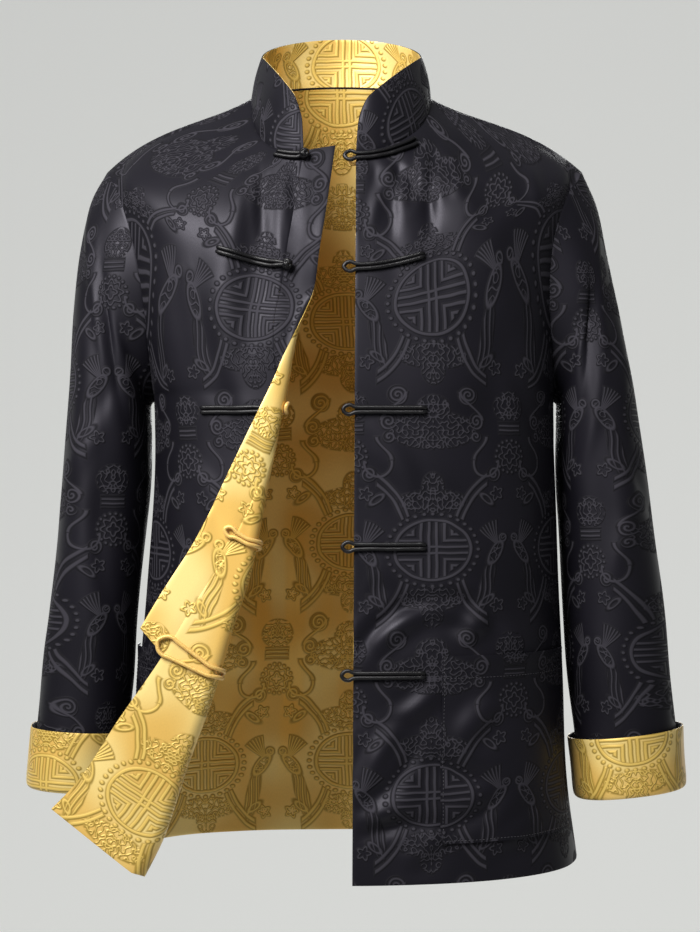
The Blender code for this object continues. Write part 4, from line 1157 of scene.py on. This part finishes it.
def build_collar():
    front = np.concatenate([[0, 0.004, 0.012, 0.025, 0.045, 0.07, 0.1], np.linspace(0.14, 1, 20)])
    back_turn = np.linspace(0, 1, 22)
    parts = []
    for side, face, flip, end in (
        ("right", "front", 1, -1), ("right", "back", -1, -1), ("left", "back", 1, -1), ("left", "front", -1, None),
    ):
        found = collar_quarter(side, face, front if face == "front" else back_turn)
        parts.append([a[::flip][:end] for a in found])
    base, panel, top = (np.concatenate([p[k] for p in parts]) for k in range(3))
    distance = along_cloth(base)
    from_end = np.minimum(distance, distance[-1] - distance)
    height = np.linalg.norm(top - base, axis=1)
    way = unit(top - base)
    corner = np.sqrt(np.clip(COLLAR_ROUND**2 - np.clip(COLLAR_ROUND - from_end, 0, None) ** 2, 0, None))
    height = height - (COLLAR_ROUND - corner)
    seat = np.linalg.norm(np.cross(panel, way), axis=1) * WALL / 2 - COLLAR_SUNK
    shares = np.concatenate([[0, 0.02, 0.06], np.linspace(0.12, 0.94, 9), [0.98, 1]])
    grid = np.array([base + way * mix(seat, height, share)[:, None] for share in shares])
    normals = grid_normals(grid)
    normals *= np.sign(-normals[5, 2, 1])
    u = np.repeat(distance[None] - distance[-1] / 2, len(shares), 0)
    v = shares[:, None] * height
    bulge = np.sin(shares * math.pi)[:, None] * (COLLAR_BULGE + waver(grid, 31, 90, 0.5))
    grid = grid + normals * bulge[..., None]
    return {"grid": grid, "normals": normals, "u": u, "z": v}


both_faces(
    "collar", build_collar(), ((40, 12), (0, 24)),
    seams=("low",),
)

# The pockets: a square patch low on each front, its edges turned in and stitched down at the sides and the
# foot, open at the top.
POCKET_TOP, POCKET_BOTTOM = -521, -690
POCKET_NEAR, POCKET_FAR = 80, 230
POCKET_WALL, POCKET_GAP = 1.2, {"left": 0.7, "right": 1.4}
POCKET_FLAT, POCKET_AREA, POCKET_HEM = (0.151, 0.170), 0.0255, 20
MOUTH_OPEN, MOUTH_FROM, MOUTH_OVER = 3.4, 0.86, 0.14  # how far the mouth stands off, and over which rows
STITCH_IN, STITCH_EVERY, STITCH_LONG, STITCH_THICK = 2.2, 3.4, 2.3, 0.28

black_thread, tree, feed = new_material("black_thread", Roughness=0.5)
feed("Base Color", blend(tree, noise(tree, 900, 2), (0.02, 0.019, 0.024), (0.06, 0.058, 0.068)))


def path_tree(name, values, lay):
    """A geometry tree that lays its work along a path; values are its inputs beside the path and the material."""
    tree = bpy.data.node_groups.new(name, "GeometryNodeTree")
    for word, kind in (("Path", "Geometry"), *values, ("Material", "Material")):
        tree.interface.new_socket(word, in_out="INPUT", socket_type="NodeSocket" + kind)
    tree.interface.new_socket("Made", in_out="OUTPUT", socket_type="NodeSocketGeometry")
    given = node(tree, "NodeGroupInput")
    curve = node(tree, "GeometryNodeMeshToCurve", {}, given)
    real = node(tree, "GeometryNodeRealizeInstances", {}, lay(tree, given.other, curve))
    dyed = node(tree, "GeometryNodeSetMaterial", {}, real, Material=given.other("Material"))
    node(tree, "NodeGroupOutput", {}, dyed)
    return tree


def lay_stitches(tree, given, curve):
    """One small rounded stitch, set every so far along the path and turned to run with it."""
    spread = node(tree, "GeometryNodeCurveToPoints", {"mode": "LENGTH"}, curve, Length=given("Every"))
    stitch = node(tree, "GeometryNodeMeshUVSphere", {}, Segments=6, Rings=4, Radius=0.5)
    size = node(tree, "ShaderNodeCombineXYZ", {}, given("Thick"), given("Thick"), given("Long"))
    turn = spread.other("Rotation")
    return node(tree, "GeometryNodeInstanceOnPoints", {}, spread, Instance=stitch, Rotation=turn, Scale=size)


def follow(name, tree, paths, **values):
    """Runs a tree over paths, each a list of points in millimetres, and returns its result as a plain mesh."""
    guide = bpy.data.meshes.new(name + "_guide")
    points = np.concatenate(paths) * MM
    edges, start = [], 0
    for path in paths:
        edges += [(k, k + 1) for k in range(start, start + len(path) - 1)]
        start += len(path)
    guide.from_pydata(points.tolist(), edges, [])
    holder = put(name + "_guide", guide)
    worker = holder.modifiers.new("follow", "NODES")
    worker.node_group = tree
    for item in tree.interface.items_tree:
        if item.name in values:
            worker[item.identifier] = values[item.name]
    graph = bpy.context.evaluated_depsgraph_get()
    mesh = bpy.data.meshes.new_from_object(holder.evaluated_get(graph))
    bpy.data.objects.remove(holder)
    mesh.name = name
    mesh.shade_smooth()
    return put(name, mesh)


stitch_row = path_tree("stitch_row", [(word, "Float") for word in ("Every", "Long", "Thick")], lay_stitches)


def build_pocket(side, panel):
    rows = np.concatenate([[0, 0.005, 0.014], np.linspace(0.03, 0.97, 33), [0.986, 0.995, 1]])
    columns = np.concatenate([[0, 0.006, 0.016], np.linspace(0.035, 0.965, 44), [0.984, 0.994, 1]])
    u, z = np.meshgrid(mix(POCKET_NEAR, POCKET_FAR, columns), mix(POCKET_BOTTOM, POCKET_TOP, rows))
    places, normals = sample(panel, u, z)
    lift = WALL / 2 + POCKET_GAP[side] + POCKET_WALL / 2
    mouth = MOUTH_OPEN * ease((rows[:, None] - MOUTH_FROM) / MOUTH_OVER) * np.sin(columns * math.pi) ** 0.5
    return {"grid": places + normals * (lift + mouth)[..., None], "normals": normals, "u": u, "z": z}


def pocket_stitches(side, pocket):
    grid, normals = pocket["grid"], pocket["normals"]
    lift = POCKET_WALL / 2 + STITCH_THICK * 0.3
    surface = {**pocket, "grid": grid + normals * lift}
    near, far = POCKET_NEAR + STITCH_IN, POCKET_FAR - STITCH_IN
    low, high = POCKET_BOTTOM + STITCH_IN, POCKET_TOP - 1
    down, across = np.linspace(high, low, 80), np.linspace(near, far, 70)
    around = [(near, z) for z in down] + [(u, low) for u in across[1:-1]] + [(far, z) for z in down[::-1]]
    hem = [(u, POCKET_TOP - POCKET_HEM) for u in across]
    paths = [sample(surface, *np.array(path).T)[0] for path in (around, hem)]
    made = follow(
        f"pocket_{side}_stitches", stitch_row, paths,
        Every=STITCH_EVERY * MM, Long=STITCH_LONG * MM, Thick=STITCH_THICK * MM * 2, Material=black_thread,
    )
    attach(made, "root")


for side, panel, middle in (("left", left_front, (75, -426)), ("right", right_whole, (24, -430))):
    pocket = build_pocket(side, panel)
    made = add_layer(
        f"pocket_patch_{side}", pocket, middle, -POCKET_WALL / 2, POCKET_WALL / 2, black_brocade,
        seams=("low", "high", "first", "last"),
    )
    cloth_piece(made, [f"pocket_{side}"], "black_brocade")
    pocket_stitches(side, pocket)

# The frogs: five pairs on each face, black on the black face and gold on the gold. Each is a cord of satin
# rolled and sewn, laid double: one ends in a loop past the edge, the other is worked into a ball knot.
FROGS = (
    # height, how far back the black and the gold knot sit, how wide open the gold loop lies, gap on the right
    (-62, 0, 0, 1, 0.9),
    (-167, 0, 9, 1, 1.2),
    (-297, 12, 9, 1, 0.8),
    (-421, 0, 5, 1, 1.2),
    (-537, 0, 9, 4.2, 1),
)
LEFT_GAP = 0.7
FROG_LENGTH, FROG_REACH, RUN_START = 62, 9, 5
CORD_RADIUS, CORD_SPACING, KNOT_RADIUS = 1.6, 2.05, 4.4
CORD_FULL = 1.9  # the cord as it shows, filling the space between its two runs
CORD_DIP, CORD_STEP, BALL_CORD = 1.4, 0.8, 1.15  # how far its ends dip, its points' spacing, its room in a ball


def cord_satin(name, dark, bright, **constants):
    """Satin rolled on the bias: fine slanting lines and a soft change along the cord."""
    made, tree, feed = new_material(name, **constants)
    lines = noise(tree, 420, 3)
    feed("Base Color", blend(tree, noise(tree, 60, 2).ramp(0.3, 0.7), dark, bright))
    feed("Roughness", lines * 0.2 + 0.28)
    feed("Normal", node(tree, "ShaderNodeBump", {}, Strength=1, Distance=0.00009, Height=lines))
    return made


black_cord = cord_satin(
    "black_rolled_satin", (0.0025, 0.0025, 0.003), (0.0055, 0.005, 0.0065), Specular_IOR_Level=0.36
)
gold_cord = cord_satin(
    "gold_rolled_satin", (0.62, 0.36, 0.08), (0.85, 0.58, 0.17), Metallic=0.25, Sheen_Weight=0.2
)


def lay_cord(tree, given, curve):
    """A round cord along the path, its ends closed."""
    even = node(tree, "GeometryNodeSetCurveNormal", {"mode": "MINIMUM_TWIST"}, curve)
    ring = node(tree, "GeometryNodeCurvePrimitiveCircle", {}, Resolution=given("Sides"), Radius=given("Radius"))
    return node(tree, "GeometryNodeCurveToMesh", {}, even, ring, **{"Fill Caps": True})


round_cord = path_tree("round_cord", (("Radius", "Float"), ("Sides", "Int")), lay_cord)


def laid_on(panel, u, z, lift, outward):
    """Places over the cloth, running straight on past its edge."""
    first = panel["u"][:, 0].max()
    inner = np.maximum(u, first)
    places, normals = sample(panel, inner, z)
    ahead = unit(sample(panel, first, z)[0] - sample(panel, first + 4, z)[0])
    places = places + ahead * (inner - u)[:, None]
    return places + outward * normals * np.expand_dims(WALL / 2 + lift, -1), outward * normals


def smooth_path(points):
    """Evenly spaced points on a smooth curve through the given ones."""
    key = along_cloth(np.asarray(points))
    table = np.concatenate([key[:, None], points], 1)
    return smooth_rows(table, np.linspace(0, key[-1], int(key[-1] / CORD_STEP) + 1))[:, 1:]


def loop_paths(panel, height, wide, outward, gap):
    """One cord, out along the cloth, round the loop and back; both ends dip under. Wide is over 1 where its
    two runs part on their way to the loop."""
    run = np.linspace(FROG_LENGTH, RUN_START, 14)
    u = np.concatenate([[FROG_LENGTH + 2], run, [0, -4.5, -8.5]])
    parted = np.clip(np.minimum(1 - u / FROG_LENGTH, 1 + u / (FROG_REACH + 1.5)), 0, 1)
    spread = (np.concatenate([[0.8], np.ones(14), [1.25, 2.1, 1.5]]) + (wide - 1) * parted) * CORD_SPACING
    lift = np.full(len(u), gap + CORD_RADIUS)
    lift[0] -= CORD_DIP
    u = np.concatenate([u, [-FROG_REACH - 1.5], u[::-1]])
    spread = np.concatenate([spread, [0], -spread[::-1]])
    lift = np.concatenate([lift, [gap + CORD_RADIUS], lift[::-1]])
    return [smooth_path(laid_on(panel, u, height + spread, lift, outward)[0])]


def knot_paths(panel, height, back, outward, gap):
    """Two cords side by side, which run into a ball: the ball is one cord worked over and under itself."""
    run = np.concatenate([[FROG_LENGTH + 2], np.linspace(FROG_LENGTH, 1, 15)]) + back
    lift = np.full(len(run), gap + CORD_RADIUS)
    lift[0] -= CORD_DIP
    lift[-3:] += (0.2, 0.8, 1.6)
    paths = []
    for way in (-1, 1):
        spread = np.full(len(run), CORD_SPACING)
        spread[-2:] = 1.6, 0.9
        paths.append(smooth_path(laid_on(panel, run, height + way * spread, lift, outward)[0]))
    ends, ups = laid_on(panel, back + np.array([-2, 2]), height, gap + KNOT_RADIUS, outward)
    middle, up, ahead = ends[0], ups[0], unit(ends[0] - ends[1])
    aside = np.cross(up, ahead)
    t = np.linspace(0, 2 * math.pi, 150)
    around, tilt = 3 * t, 1.05 * np.sin(4 * t)
    reach = (KNOT_RADIUS - BALL_CORD) + 0.35 * np.sin(8 * t + 0.5)
    ball = np.cos(tilt)[:, None] * (np.cos(around)[:, None] * up + np.sin(around)[:, None] * aside)
    paths.append(middle + reach[:, None] * (ball + np.sin(tilt)[:, None] * ahead))
    return paths


def frog_piece(name, paths, satin):
    made = follow(name + "_cord", round_cord, paths, Radius=CORD_FULL * MM, Sides=10, Material=satin)
    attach(made, "root")
    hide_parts(name)


for i, (height, black_back, gold_back, wide, gap) in enumerate(FROGS, 1):
    frog_piece(f"loop_black_{i}", loop_paths(left_front, height, 1, 1, LEFT_GAP), black_cord)
    frog_piece(f"knot_black_{i}", knot_paths(right_whole, height, black_back, 1, gap), black_cord)
    frog_piece(f"knot_gold_{i}", knot_paths(left_front, height, gold_back, -1, LEFT_GAP), gold_cord)
    frog_piece(f"loop_gold_{i}", loop_paths(right_whole, height, wide, -1, gap), gold_cord)
